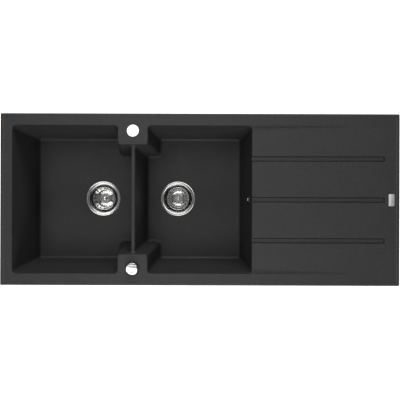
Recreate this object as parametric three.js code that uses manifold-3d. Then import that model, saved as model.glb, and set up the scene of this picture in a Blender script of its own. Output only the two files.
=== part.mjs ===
// Inset double bowl kitchen sink with a drainer. Millimetres, +X towards the drainer, +Y towards the
// tap ledge, +Z up. The origin is the middle of the outline, in the plane of the worktop's surface.
import * as THREE from "three";
import { mergeVertices } from "three/addons/utils/BufferGeometryUtils.js";
import Module from "manifold-3d";

const wasm = await Module();
wasm.setup();

// Outline, rim and deck
const sinkLength = 1160;
const sinkWidth = 500;
const outlineRadius = 4;
const lipHeight = 8; // crest of the lip above the worktop
const lipOuterRound = 5.5; // width of the rounded outer edge
const lipCrestWidth = 3;
const lipInnerSlope = 3.5;
const deckDrop = 1.5; // from the crest down to the deck
const deckTop = lipHeight - deckDrop;

// Bowls: depths are from the deck, drafts are how far a wall leans in over the whole depth
const rimBorder = 35; // outer edge to bowl, at the left, front and rear
const leftBowlLength = 345;
const rightBowlLength = 343;
const bowlDepth = 198; // at the waste
const floorFall = 3; // from the floor's edge down to the waste
const wallThickness = 9;
const floorThickness = 8; // under the waste's seat
const outerDraft = 14.5;
const dividerDraft = 20.5;
const ledgeFrontDraft = 16;
const bowlCornerRadius = 11;
const ledgeCornerRadius = 9;
const ledgeFootRadius = 16;
const floorFillet = 9;
const bowlEdgeRound = 3;

// Divider and the two ledges that stand at its ends
const dividerThickness = 9;
const dividerDrop = 12;
const dividerFillet = 8;
const ledgeWidth = 88;
const ledgeReach = 56;
const ledgeHoleRadius = 17.5;
const ledgeHoleInset = 50; // hole centre from the outer edge

// Drainer
const drainerBorder = 40; // drainer's right end to the outer edge
const drainerFall = 6.5;
const drainerThickness = 8.5; // below the worktop's plane
const channelPitch = 119;
const channelWidth = 15.4;
const channelDepth = 3.5;
const channelEndRadius = 4;
const channelEndGap = 4; // channel end to the drainer's end
const skirtThickness = 8;
const skirtDepth = 30;
const skirtInset = 18; // outer edge to the skirt's outer face

// Badge plate
const badgeLength = 35;
const badgeWidth = 17;
const badgeThickness = 1.2;
const badgeInset = 24.2; // plate centre from the outer edge
const badgeRecess = 0.6;
const badgeCorner = 3;

// Sealing tape in its groove under the rim
const tapeWidth = 7;
const tapeThickness = 1.5;
const tapeInset = 3;
const grooveClearance = 0.3;
const tapeCorner = 1;

// Fixing clips
const clipInset = 20.5; // screw axis from the outer edge
const bossRadius = 8;
const bossDepth = 34;
const clipScrewRadius = 2.5;
const clipScrewGrip = 26; // length inside the boss
const clipHeadRadius = 5;
const clipHeadHeight = 3;
const clipArmWidth = 14;
const clipArmThickness = 2.5;
const clipArmReach = 48;
const clipArmHeel = 5;
const clipToeLength = 14;
const worktopThickness = 38;
const clipToeGap = 0.3;
const clipArmRise = 11;
const screwClearance = 0.3;
const drainerStep = 0.3; // drainer's surface below the deck at its right end
const restGap = 0.3; // between pieces that only rest on each other
const clipFrontPlaces = [-430, 20, 400];

// Basket strainer wastes: heights are from the seat in the bowl's floor, and are negative below it
const wasteOffset = 124.5; // waste axis from the divider's middle
const flangeRadius = 57.5;
const seatClearance = 0.8;
const seatDepth = 2.5;
const wasteHoleRadius = 45;
const gasketThickness = 1.2;
const gasketInner = 47;
const gasketOuter = 55;
const sheetThickness = 1.2;
const flangeEdgeChamfer = 0.4;
const flangeNeckStep = 0.4; // neck under the lip, wider than the cup
const flangeMouthWidth = 2; // rounded mouth between the lip and the cup
const flangeMouthDip = 0.9;
const cupMouthRadius = 43.2;
const cupFootRadius = 36;
const cupFloorDepth = 37;
const cupFootRise = 5; // height of the cup's bevelled foot
const cupDrainRadius = 4.5;
const cupDrainCircle = 14;
const cupDrainCount = 6;
const basketRimRadius = 38.5;
const basketRimDepth = 8;
const basketFootRadius = 34;
const basketWall = 1.2;
const basketWallLean = 0.6;
const basketFloorRise = 1.8; // above the hub's foot, as the next two are
const hubCeilingRise = 4;
const hubDeckRise = 6.5;
const hubShoulder = 1;
const hubRimWidth = 4;
const basketSlotCount = 18;
const basketSlotInner = 21.5;
const basketSlotOuter = 29.5;
const basketSlotWidth = 3;
const hubRadius = 20;
const hubHeight = 9;
const hubBoreRadius = 9;
const sealThickness = 2;
const basketKnobRadius = 6.25;
const basketKnobHeight = 14;
const basketStemRadius = 2.4;
const basketStemCollar = 1.6;
const basketKnobChamfer = 1;
const bodyWall = 3.5;
const bodyClearance = 1;
const bodyBottomDepth = 68;
const bodyConeHeight = 11;
const bodyFlangeWidth = 4;
const bodyFlangeThickness = 3;
const outletRadius = 24;
const outletWall = 3;
const outletLength = 25;
const socketWall = 3; // of the socket that holds the outlet pipe's top end
const socketLength = 3.5; // below the cone's foot
const socketLip = 2;
const bodyHubRadius = 8;
const bodyHubTop = 40;
const bodyHubBottom = 50;
const bodyRibThickness = 3;
const bodyRibInset = 2; // rib's edges in from the hub's ends
const clampScrewRadius = 4;
const clampHeadRadius = 7.5;
const clampHeadHeight = 2.5;
const clampTail = 2; // screw's end below the hub
const outletNutRadius = 30;
const outletNutHeight = 14;
const outletNutDepth = 86;
const nutClearance = 0.6;

// Lift gear of the right waste
const liftTravel = 8;
const liftPinRadius = 2.4;
const liftPinDepth = 60;
const liftArm = 25;
const liftTipRadius = 2.5;
const liftShaftRadius = 3;
const eyeOffset = 22; // cable's eye from the axis of its wheel
const wheelThickness = 4;
const wheelGap = 8; // cable wheel to the waste body's wall
const bracketThickness = 3;
const bracketEdge = 4; // ear's width round the ferrule's hole
const bracketRise = 8; // ear's top above the body's foot
const bracketX = -6; // ear's face towards the wheel
const liftArmWidth = 5;
const liftArmThickness = 3;
const wheelEdge = 4; // cable wheel's width beyond the eye's middle
const nippleRadius = 1.8;
const coreRadius = 0.8;
const ferruleRadius = 4;
const ferruleLength = 14;
const ferruleGrip = 7; // ferrule's length on the sheath's side of the ear
const ferruleCollarStep = 1.5;
const ferruleCollarLength = 2;

// Overflow of the right bowl
const overflowDrop = 50; // below the deck
const overflowHoleRadius = 10;
const overflowCoverRadius = 13;
const overflowCoverThickness = 3;
const overflowScrewRadius = 2;
const overflowWaterHoleRadius = 1.8;
const overflowWaterHoles = 8;
const overflowButtonRadius = 5;
const overflowButtonHeight = 2;
const overflowFlangeRadius = 17;
const overflowFlangeThickness = 3;
const overflowPipeRadius = 11;
const overflowPipeBore = 8;
const elbowReach = 14;
const elbowDrop = 32;
const overflowPortDepth = 30; // port of the right waste body, below the seat
const overflowPortReach = 12;
const hoseCrestRadius = 12;
const hoseRootRadius = 10.2;
const hoseBoreRadius = 8;
const hosePitch = 5.5;
const hoseBend = 45;

// Waste control on the front ledge
const escutcheonRadius = 20;
const escutcheonThickness = 2;
const controlGasketThickness = 1;
const knobRadius = 17.5;
const knobDiscHeight = 6;
const knobGripWidth = 19;
const knobGripHeight = 5;
const knobChamfer = 1.5;
const knobEdgeInset = 0.5; // grip bar's round ends in from the disc's edge
const knobSocketCover = 2; // disc's thickness over the spindle
const shankRadius = 16.8;
const spindleRadius = 5;
const drumRadius = 18;
const drumThickness = 8;
const drumClearance = 1;
const spindleTail = 1; // spindle's end below the drum
const caseWall = 2.5;
const caseHeight = 14;
const caseOffset = 18; // case top wall below the deck
const lockNutRadius = 25;
const lockNutHeight = 9;
const sheathRadius = 3;
const sheathOffset = 14; // sheath axis from the spindle
const sheathEndRun = 9; // straight run before the ferrule

// Places that follow from the sizes
const leftBowlEnd = -sinkLength / 2 + rimBorder;
const dividerX = leftBowlEnd + leftBowlLength + dividerThickness / 2;
const rightBowlEnd = dividerX + dividerThickness / 2 + rightBowlLength;
const bowlHalfWidth = sinkWidth / 2 - rimBorder;
const floorAtWaste = deckTop - bowlDepth;
const floorAtEdge = floorAtWaste + floorFall;
const drainerEnd = sinkLength / 2 - drainerBorder;
const seatHeight = floorAtWaste - seatDepth;
const undersideHeight = seatHeight - floorThickness;
const ledgeHoleY = sinkWidth / 2 - ledgeHoleInset;
const leftWasteX = dividerX - wasteOffset;
const rightWasteX = dividerX + wasteOffset;
const roundSides = 24; // facets of the large round pieces
const basketSides = 24;
const overcut = 1; // how far a cutter reaches past the face that it opens
const bowls = [
  { name: "left", side: -1, length: leftBowlLength, wasteX: leftWasteX },
  { name: "right", side: 1, length: rightBowlLength, wasteX: rightWasteX },
];

// ---- Shapes ----

function solidOf(geometry) {
  const bare = geometry.index ? geometry.toNonIndexed() : geometry.clone();
  const points = new THREE.BufferGeometry();
  points.setAttribute("position", bare.getAttribute("position"));
  const merged = mergeVertices(points, 1e-4);
  return new wasm.Manifold(
    new wasm.Mesh({
      numProp: 3,
      vertProperties: merged.attributes.position.array,
      triVerts: new Uint32Array(merged.index.array),
    }),
  );
}

function geometryOf(solid) {
  const mesh = solid.getMesh();
  const geometry = new THREE.BufferGeometry();
  geometry.setAttribute("position", new THREE.BufferAttribute(new Float32Array(mesh.vertProperties), 3));
  geometry.setIndex(new THREE.BufferAttribute(new Uint32Array(mesh.triVerts), 1));
  const flat = geometry.toNonIndexed();
  flat.computeVertexNormals();
  return flat;
}

// A box between two corners.
function block(low, high) {
  const size = high.map((value, axis) => value - low[axis]);
  const geometry = new THREE.BoxGeometry(...size);
  geometry.translate(...low.map((value, axis) => value + size[axis] / 2));
  return solidOf(geometry);
}

// A closed profile of [radius, height] pairs, counterclockwise seen with the axis on the left.
function turned(profile, segments) {
  const closed = [...profile, profile[0]].map(([radius, height]) => new THREE.Vector2(radius, height));
  const geometry = new THREE.LatheGeometry(closed, segments);
  geometry.rotateX(Math.PI / 2);
  return solidOf(geometry);
}

function disc(radius, low, high, segments = 20) {
  return turned([[0, low], [radius, low], [radius, high], [0, high]], segments);
}

function ring(inner, outer, low, high, segments = 24) {
  return turned([[inner, low], [outer, low], [outer, high], [inner, high]], segments);
}

// A plan outline, as THREE.Vector2 points, raised from low to high.
function raised(points, low, high) {
  const shape = new THREE.Shape(points);
  const geometry = new THREE.ExtrudeGeometry(shape, { depth: high - low, bevelEnabled: false });
  geometry.translate(0, 0, low);
  return solidOf(geometry);
}

// An outline of [across, up] pairs in the XZ plane, carried along Y over a width centred on y = 0.
function carried(points, width) {
  const shape = new THREE.Shape(points.map(([across, up]) => new THREE.Vector2(across, up)));
  const geometry = new THREE.ExtrudeGeometry(shape, { depth: width, bevelEnabled: false });
  geometry.rotateX(Math.PI / 2);
  geometry.translate(0, width / 2, 0);
  return solidOf(geometry);
}

// Square corners given as [x, y, radius], each rounded by an arc of the same number of steps.
function roundedOutline(corners, steps) {
  const points = [];
  corners.forEach(([x, y, radius], index) => {
    const before = corners[(index + corners.length - 1) % corners.length];
    const after = corners[(index + 1) % corners.length];
    const inward = new THREE.Vector2(x - before[0], y - before[1]).normalize();
    const outward = new THREE.Vector2(after[0] - x, after[1] - y).normalize();
    for (let step = 0; step <= steps; step += 1) {
      const angle = (Math.PI / 2) * (step / steps);
      const along = radius * (Math.sin(angle) - 1);
      const aside = radius * (1 - Math.cos(angle));
      points.push(new THREE.Vector2(
        x + inward.x * along + outward.x * aside,
        y + inward.y * along + outward.y * aside,
      ));
    }
  });
  return points;
}

function roundedRectangle(lowX, highX, lowY, highY, radius, steps = 2) {
  const corners = [[lowX, lowY], [highX, lowY], [highX, highY], [lowX, highY]];
  return roundedOutline(corners.map((corner) => [...corner, radius]), steps);
}

// A solid through rings of equal point counts, from the top ring down, closed by a cap at each end.
// A fan closes the ends of a round one, and an outline that turns both ways is closed from above.
function lofted(rings, fan = false) {
  const count = rings[0].length;
  const positions = rings.flat().flatMap((point) => [point.x, point.y, point.z]);
  const faces = [];
  for (let level = 0; level + 1 < rings.length; level += 1) {
    for (let index = 0; index < count; index += 1) {
      const next = (index + 1) % count;
      const upper = level * count;
      const lower = upper + count;
      faces.push(upper + index, lower + index, lower + next);
      faces.push(upper + index, lower + next, upper + next);
    }
  }
  const cap = (points) => (fan
    ? points.slice(2).map((point, index) => [0, index + 1, index + 2])
    : THREE.ShapeUtils.triangulateShape(points.map((point) => new THREE.Vector2(point.x, point.y)), []));
  cap(rings[0]).forEach(([a, b, c]) => faces.push(a, b, c));
  const base = (rings.length - 1) * count;
  cap(rings[rings.length - 1]).forEach(([a, b, c]) => faces.push(base + a, base + c, base + b));
  const geometry = new THREE.BufferGeometry();
  geometry.setAttribute("position", new THREE.Float32BufferAttribute(positions, 3));
  geometry.setIndex(faces);
  return solidOf(geometry);
}

function atHeight(points, heightOf) {
  return points.map((point) => new THREE.Vector3(point.x, point.y, heightOf(point)));
}

function moved(solid, x, y, z = 0) {
  return solid.translate([x, y, z]);
}

function joined(...solids) {
  return solids.reduce((whole, solid) => whole.add(solid));
}

function cut(solid, ...cutters) {
  return cutters.reduce((left, cutter) => left.subtract(cutter), solid);
}

// ---- Group and materials ----

const sink = new THREE.Group();

const finishes = {
  composite: { color: 0x2c2c2d, roughness: 0.62, metalness: 0 },
  polished: { color: 0xd4d6d8, roughness: 0.14, metalness: 1 },
  brushed: { color: 0xb9bbbd, roughness: 0.34, metalness: 1 },
  zinc: { color: 0x9a9c9e, roughness: 0.42, metalness: 1 },
  rubber: { color: 0x151515, roughness: 0.85, metalness: 0 },
  plastic: { color: 0x2a2b2c, roughness: 0.55, metalness: 0 },
  foam: { color: 0x3c3c3c, roughness: 0.95, metalness: 0 },
};

function place(name, solid, finish, parent = sink) {
  const mesh = new THREE.Mesh(geometryOf(solid), new THREE.MeshStandardMaterial(finishes[finish]));
  mesh.name = name;
  parent.add(mesh);
  return mesh;
}

// ---- Sink moulding ----

// Distances of a bowl's walls from its divider face, at a share of its depth; grow moves them outwards.
function bowlCorners(bowlLength, share, grow) {
  const near = dividerDraft * share - grow;
  const ledgeSide = ledgeWidth / 2 - dividerThickness / 2 + dividerDraft * share - grow;
  const ledgeFront = bowlHalfWidth - ledgeReach - ledgeFrontDraft * share + grow;
  const far = bowlLength - outerDraft * share + grow;
  const half = bowlHalfWidth - outerDraft * share + grow;
  const outer = bowlCornerRadius + grow;
  const inner = Math.max(1, ledgeCornerRadius + (ledgeFootRadius - ledgeCornerRadius) * share - grow);
  return [
    [near, -ledgeFront, outer],
    [ledgeSide, -ledgeFront, inner],
    [ledgeSide, -half, outer],
    [far, -half, outer],
    [far, half, outer],
    [ledgeSide, half, outer],
    [ledgeSide, ledgeFront, inner],
    [near, ledgeFront, outer],
  ];
}

// A bowl outline in the sink's plan: side is +1 for the right bowl and -1 for the left one.
function bowlOutline(side, bowlLength, share, grow) {
  const face = dividerX + (side * dividerThickness) / 2;
  const points = roundedOutline(bowlCorners(bowlLength, share, grow), 2);
  const turnedPoints = points.map((point) => new THREE.Vector2(face + side * point.x, point.y));
  return side > 0 ? turnedPoints : turnedPoints.reverse();
}

const depthShare = (height) => (deckTop - height) / (deckTop - floorAtEdge);

// Levels of a bowl's fillet as [height above the floor, inset] pairs, from the wall down to the floor.
const filletLevels = (radius) => [0, 1, 2].map((step) => {
  const angle = (Math.PI / 2) * (step / 2);
  return [radius * (1 - Math.sin(angle)), radius * (1 - Math.cos(angle))];
});

// The water side of a bowl: rounded mouth, leaning walls, filleted foot and a floor that falls to the waste.
function bowlCavity(bowl) {
  const level = (height, inset) => atHeight(
    bowlOutline(bowl.side, bowl.length, depthShare(height), -inset),
    () => height,
  );
  const rings = [
    level(deckTop + lipHeight, -bowlEdgeRound),
    level(deckTop, -bowlEdgeRound),
    level(deckTop - bowlEdgeRound * 0.3, -bowlEdgeRound * 0.3),
    level(deckTop - bowlEdgeRound, 0),
    ...filletLevels(floorFillet).map(([up, inset]) => level(floorAtEdge + up, inset)),
  ];
  const floorEdge = rings[rings.length - 1];
  const mouth = floorEdge.map((point) => {
    const angle = Math.atan2(point.y, point.x - bowl.wasteX);
    const radius = flangeRadius + seatClearance;
    return new THREE.Vector3(
      bowl.wasteX + radius * Math.cos(angle),
      radius * Math.sin(angle),
      floorAtWaste,
    );
  });
  return lofted([...rings, mouth]);
}

// The outside of a bowl, a wall's thickness away from its water side, down to its flat underside.
function bowlShell(bowl) {
  const level = (height, grow) => atHeight(
    bowlOutline(bowl.side, bowl.length, Math.min(1, depthShare(height)), grow),
    () => height,
  );
  const foot = floorFillet + wallThickness;
  return lofted([
    level(deckTop / 2, wallThickness),
    ...filletLevels(foot).map(([up, inset]) => level(undersideHeight + up, wallThickness - inset)),
  ]);
}

// Surface height of the drainer, which falls towards the right bowl.
const drainerHeight = (x) => deckTop - (drainerFall * (drainerEnd - x)) / (drainerEnd - rightBowlEnd);

function deckSlab() {
  const level = (inset, height) => atHeight(
    roundedRectangle(
      -sinkLength / 2 + inset,
      sinkLength / 2 - inset,
      -sinkWidth / 2 + inset,
      sinkWidth / 2 - inset,
      Math.max(0.5, outlineRadius - inset / 2),
    ),
    () => height,
  );
  const crestEnd = lipOuterRound + lipCrestWidth;
  return lofted([
    level(crestEnd + lipInnerSlope, deckTop),
    level(crestEnd, lipHeight),
    level(lipOuterRound, lipHeight),
    level(lipOuterRound * 0.3, lipHeight * 0.8),
    level(0, lipHeight * 0.4),
    level(0, 0),
  ]);
}

function drainerUnderside() {
  const reach = bowlHalfWidth + wallThickness;
  return block(
    [rightBowlEnd, -reach, -drainerThickness],
    [drainerEnd + skirtThickness, reach, deckTop / 2],
  );
}

function skirt() {
  const outerY = sinkWidth / 2 - skirtInset;
  const outerX = sinkLength / 2 - skirtInset;
  const rail = (side) => {
    const faces = [side * (outerY - skirtThickness), side * outerY].sort((a, b) => a - b);
    return block([rightBowlEnd, faces[0], -skirtDepth], [outerX, faces[1], deckTop / 2]);
  };
  const end = block([outerX - skirtThickness, -outerY, -skirtDepth], [outerX, outerY, deckTop / 2]);
  return joined(rail(1), rail(-1), end);
}

// Each cutter follows the drainer's fall at a depth below its surface.
function drainerCutter(lowX, highX, halfWidth, depth, radius, y = 0) {
  const plan = roundedRectangle(lowX, highX, y - halfWidth, y + halfWidth, radius);
  return lofted([
    atHeight(plan, () => deckTop + overcut),
    atHeight(plan, (point) => drainerHeight(point.x) - depth),
  ]);
}

function channels() {
  const reach = rightBowlEnd - overcut;
  return [-channelPitch, 0, channelPitch].map((y) => drainerCutter(
    reach - channelEndRadius,
    drainerEnd - channelEndGap,
    channelWidth / 2,
    channelDepth,
    channelEndRadius,
    y,
  ));
}

// The lowered crest of the divider, between the fronts of the two ledges.
function dividerSaddle() {
  const crest = deckTop - dividerDrop;
  const half = bowlHalfWidth - ledgeReach;
  const shape = new THREE.Shape();
  shape.moveTo(-half, deckTop + overcut);
  shape.lineTo(-half, crest + dividerFillet);
  shape.absarc(-half + dividerFillet, crest + dividerFillet, dividerFillet, Math.PI, 1.5 * Math.PI);
  shape.lineTo(half - dividerFillet, crest);
  shape.absarc(half - dividerFillet, crest + dividerFillet, dividerFillet, 1.5 * Math.PI, 2 * Math.PI);
  shape.lineTo(half, deckTop + overcut);
  const width = dividerThickness + 2 * bowlEdgeRound;
  const geometry = new THREE.ExtrudeGeometry(shape, { depth: width, bevelEnabled: false, curveSegments: 4 });
  geometry.rotateX(Math.PI / 2);
  geometry.rotateZ(Math.PI / 2);
  geometry.translate(dividerX - width / 2, 0, 0);
  return solidOf(geometry);
}

// A boss for a clip's screw, with its hole from below.
function clipBoss([x, y]) {
  return moved(disc(bossRadius, -bossDepth, deckTop / 2, 14), x, y);
}

function clipHole([x, y]) {
  const radius = clipScrewRadius + screwClearance;
  return moved(disc(radius, -bossDepth - overcut, -bossDepth + clipScrewGrip + restGap, 8), x, y);
}

function tapeGroove() {
  const frame = (inset) => raised(
    roundedRectangle(
      -sinkLength / 2 + inset,
      sinkLength / 2 - inset,
      -sinkWidth / 2 + inset,
      sinkWidth / 2 - inset,
      tapeCorner,
      1,
    ),
    -overcut,
    tapeThickness + grooveClearance,
  );
  return cut(frame(tapeInset - grooveClearance), frame(tapeInset + tapeWidth + grooveClearance));
}

// Axis of the overflow through the right bowl's leaning wall: local +X points out through the wall.
const overflowHeight = deckTop - overflowDrop;
const overflowTilt = Math.atan(outerDraft / (deckTop - floorAtEdge));
const overflowWallX = rightBowlEnd - outerDraft * depthShare(overflowHeight);

// A disc across the local X axis, from low to high along it.
function crossDisc(radius, low, high, segments = 20) {
  return disc(radius, low, high, segments).rotate([0, 90, 0]);
}

function crossRing(inner, outer, low, high, segments = 20) {
  return ring(inner, outer, low, high, segments).rotate([0, 90, 0]);
}

function atOverflow(solid) {
  return solid.rotate([0, (overflowTilt * 180) / Math.PI, 0]).translate([overflowWallX, 0, overflowHeight]);
}

const clipEdgeY = sinkWidth / 2 - clipInset;
const clipEdgeX = sinkLength / 2 - clipInset;
const clips = [
  ...clipFrontPlaces.map((x) => ({ at: [x, -clipEdgeY], heading: 0 })),
  ...clipFrontPlaces.map((x) => ({ at: [x, clipEdgeY], heading: 180 })),
  { at: [-clipEdgeX, 0], heading: -90 },
  { at: [clipEdgeX, 0], heading: 90 },
];

function sinkMoulding() {
  const solid = joined(
    deckSlab(),
    drainerUnderside(),
    skirt(),
    ...bowls.map(bowlShell),
    ...clips.map((clip) => clipBoss(clip.at)),
  );
  const drainerStart = rightBowlEnd - bowlCornerRadius - bowlEdgeRound;
  const drainer = drainerCutter(
    drainerStart - channelEndRadius,
    drainerEnd,
    bowlHalfWidth,
    drainerStep,
    channelEndRadius,
  );
  const wasteOpenings = bowls.flatMap((bowl) => [
    moved(disc(flangeRadius + seatClearance, seatHeight, floorAtWaste + overcut, roundSides), bowl.wasteX, 0),
    moved(disc(wasteHoleRadius, undersideHeight - overcut, seatHeight + overcut, roundSides), bowl.wasteX, 0),
  ]);
  const ledgeHoles = [-1, 1].map((side) => moved(
    disc(ledgeHoleRadius, -overcut, lipHeight, 32),
    dividerX,
    side * ledgeHoleY,
  ));
  const badgeX = sinkLength / 2 - badgeInset;
  const badgePocket = raised(
    roundedRectangle(
      badgeX - badgeWidth / 2 - restGap,
      badgeX + badgeWidth / 2 + restGap,
      -badgeLength / 2 - restGap,
      badgeLength / 2 + restGap,
      badgeCorner,
    ),
    deckTop - badgeRecess,
    lipHeight,
  );
  return cut(
    solid,
    ...bowls.map(bowlCavity),
    dividerSaddle(),
    drainer,
    ...channels(),
    ...wasteOpenings,
    ...ledgeHoles,
    badgePocket,
    tapeGroove(),
    ...clips.map((clip) => clipHole(clip.at)),
    atOverflow(crossDisc(overflowHoleRadius, -overcut, wallThickness + overcut)),
  );
}

place("sink_body", sinkMoulding(), "composite");

// ---- Badge plate and sealing tape ----

function badgePlate() {
  const x = sinkLength / 2 - badgeInset;
  const bottom = deckTop - badgeRecess;
  const plan = roundedRectangle(
    x - badgeWidth / 2,
    x + badgeWidth / 2,
    -badgeLength / 2,
    badgeLength / 2,
    badgeCorner,
  );
  return raised(plan, bottom, bottom + badgeThickness);
}

// One closed strip, stuck to the ceiling of its groove.
function sealingTape() {
  const frame = (inset, low, high) => raised(
    roundedRectangle(
      -sinkLength / 2 + inset,
      sinkLength / 2 - inset,
      -sinkWidth / 2 + inset,
      sinkWidth / 2 - inset,
      tapeCorner,
      1,
    ),
    low,
    high,
  );
  const top = tapeThickness + grooveClearance;
  return cut(
    frame(tapeInset, grooveClearance, top),
    frame(tapeInset + tapeWidth, grooveClearance - overcut, top + overcut),
  );
}

place("badge_plate", badgePlate(), "brushed");
place("sealing_tape", sealingTape(), "foam");

// ---- Fixing clips: a screw from below into each boss carries an arm that swings out under the worktop ----

const clipToeTop = -(worktopThickness + clipToeGap);
const clipStrapTop = clipToeTop - clipArmRise;
const clipHeadTop = clipStrapTop - clipArmThickness - restGap;

// A bent strap: flat round the screw, a ramp up, and a flat toe that bears on the worktop.
function clipArm() {
  const rampEnd = clipArmReach - clipToeLength;
  const rampStart = rampEnd - clipArmRise;
  const profile = [
    [-clipArmHeel, -clipArmThickness],
    [rampStart + clipArmThickness / 2, -clipArmThickness],
    [rampEnd + clipArmThickness / 2, clipArmRise - clipArmThickness],
    [clipArmReach, clipArmRise - clipArmThickness],
    [clipArmReach, clipArmRise],
    [rampEnd - clipArmThickness / 2, clipArmRise],
    [rampStart - clipArmThickness / 2, 0],
    [-clipArmHeel, 0],
  ];
  const hole = disc(clipScrewRadius + 2 * screwClearance, -clipArmThickness - overcut, overcut, 8);
  return cut(carried(profile, clipArmWidth), hole);
}

function clipScrew() {
  const tip = -bossDepth + clipScrewGrip;
  return joined(
    disc(clipScrewRadius, clipHeadTop - clipHeadHeight / 2, tip, 8),
    disc(clipHeadRadius, clipHeadTop - clipHeadHeight, clipHeadTop, 6),
  );
}

clips.forEach((clip, index) => {
  const spot = new THREE.Group();
  spot.position.set(clip.at[0], clip.at[1], 0);
  spot.rotation.z = (clip.heading * Math.PI) / 180;
  sink.add(spot);
  place(`clip_screw_${index + 1}`, clipScrew(), "zinc", spot);
  const arm = place(`clip_arm_${index + 1}`, clipArm(), "zinc", spot);
  arm.position.z = clipStrapTop;
});

// ---- Overflow: cover and screw in the bowl, gasket and elbow behind its wall ----

const overflow = new THREE.Group();
overflow.position.set(overflowWallX, 0, overflowHeight);
overflow.rotation.y = overflowTilt;
sink.add(overflow);

const overflowGasketStart = wallThickness + restGap;
const overflowFlangeStart = overflowGasketStart + gasketThickness + restGap;
const overflowFlangeEnd = overflowFlangeStart + overflowFlangeThickness;
const elbowX = overflowFlangeEnd + elbowReach;

function overflowCover() {
  const circle = (overflowCoverRadius + overflowButtonRadius) / 2;
  const holes = Array.from({ length: overflowWaterHoles }, (_, index) => {
    const angle = (2 * Math.PI * index) / overflowWaterHoles;
    const hole = crossDisc(overflowWaterHoleRadius, -overflowCoverThickness - overcut, overcut, 8);
    return moved(hole, 0, circle * Math.cos(angle), circle * Math.sin(angle));
  });
  const plate = crossRing(
    overflowScrewRadius + screwClearance,
    overflowCoverRadius,
    -overflowCoverThickness,
    0,
    24,
  );
  return moved(cut(plate, ...holes), -restGap, 0);
}

function overflowScrew() {
  const headEnd = -overflowCoverThickness - 2 * restGap;
  return joined(
    crossDisc(overflowButtonRadius, headEnd - overflowButtonHeight, headEnd, 20),
    crossDisc(overflowScrewRadius, headEnd - overflowButtonHeight / 2, overflowFlangeEnd, 12),
  );
}

// A flange with a bar across its mouth for the screw, a short pipe and a pipe down to the hose.
function overflowElbow() {
  const outside = joined(
    crossDisc(overflowFlangeRadius, overflowFlangeStart, overflowFlangeEnd, 24),
    crossDisc(overflowPipeRadius, overflowFlangeStart, elbowX),
    moved(disc(overflowPipeRadius, -elbowDrop, overflowPipeRadius), elbowX, 0),
  );
  const bores = joined(
    crossDisc(overflowPipeBore, overflowFlangeStart - overcut, elbowX),
    moved(disc(overflowPipeBore, -elbowDrop - overcut, overflowPipeBore), elbowX, 0),
  );
  const bar = block(
    [overflowFlangeStart, -overflowPipeBore - overcut, -2 * overflowScrewRadius],
    [overflowFlangeEnd, overflowPipeBore + overcut, 2 * overflowScrewRadius],
  );
  const screwHole = crossDisc(
    overflowScrewRadius + screwClearance,
    overflowFlangeStart - overcut,
    overflowFlangeEnd + overcut,
    12,
  );
  return cut(joined(cut(outside, bores), bar), screwHole);
}

place("overflow_cover", overflowCover(), "polished", overflow);
place("overflow_screw", overflowScrew(), "polished", overflow);
place(
  "overflow_gasket",
  crossRing(
    overflowHoleRadius + restGap,
    overflowFlangeRadius,
    overflowGasketStart,
    overflowGasketStart + gasketThickness,
  ),
  "rubber",
  overflow,
);
place("overflow_elbow", overflowElbow(), "plastic", overflow);

// ---- Overflow hose: down the bowl's wall, round one bend and along under the floor ----

const bodyInner = cupMouthRadius + sheetThickness + bodyClearance;
const bodyOuter = bodyInner + bodyWall;
const hoseEndX = rightWasteX + bodyOuter + overflowPortReach + restGap;
const hoseEndHeight = seatHeight - overflowPortDepth;

// Points of the hose's middle line: at(distance) gives the place and its heading, 0 down and 90 to -X.
function hoseRoute() {
  const spigot = -elbowDrop - restGap;
  const startX = overflowWallX + elbowX * Math.cos(overflowTilt) + spigot * Math.sin(overflowTilt);
  const startZ = overflowHeight - elbowX * Math.sin(overflowTilt) + spigot * Math.cos(overflowTilt);
  const sweep = Math.PI / 2 - overflowTilt;
  const tangent = hoseBend * Math.tan(sweep / 2);
  const fall = (startZ - hoseEndHeight) / Math.cos(overflowTilt) - tangent;
  const cornerX = startX - (startZ - hoseEndHeight) * Math.tan(overflowTilt);
  const run = cornerX - tangent - hoseEndX;
  const bendStartX = startX - fall * Math.sin(overflowTilt);
  const bendStartZ = startZ - fall * Math.cos(overflowTilt);
  const centreX = bendStartX - hoseBend * Math.cos(overflowTilt);
  const centreZ = bendStartZ + hoseBend * Math.sin(overflowTilt);
  const at = (distance) => {
    if (distance <= fall) {
      const x = startX - distance * Math.sin(overflowTilt);
      return { x, z: startZ - distance * Math.cos(overflowTilt), heading: overflowTilt };
    }
    const turn = (distance - fall) / hoseBend;
    if (turn <= sweep) {
      const heading = overflowTilt + turn;
      const x = centreX + hoseBend * Math.cos(heading);
      return { x, z: centreZ - hoseBend * Math.sin(heading), heading };
    }
    const past = distance - fall - hoseBend * sweep;
    return { x: cornerX - tangent - past, z: hoseEndHeight, heading: Math.PI / 2 };
  };
  return { length: fall + hoseBend * sweep + run, at };
}

function hoseRing(route, distance, radius) {
  const sides = 8;
  const { x, z, heading } = route.at(distance);
  return Array.from({ length: sides }, (_, index) => {
    const angle = (2 * Math.PI * index) / sides;
    const across = radius * Math.cos(angle);
    return new THREE.Vector3(
      x + across * Math.cos(heading),
      radius * Math.sin(angle),
      z - across * Math.sin(heading),
    );
  });
}

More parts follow.
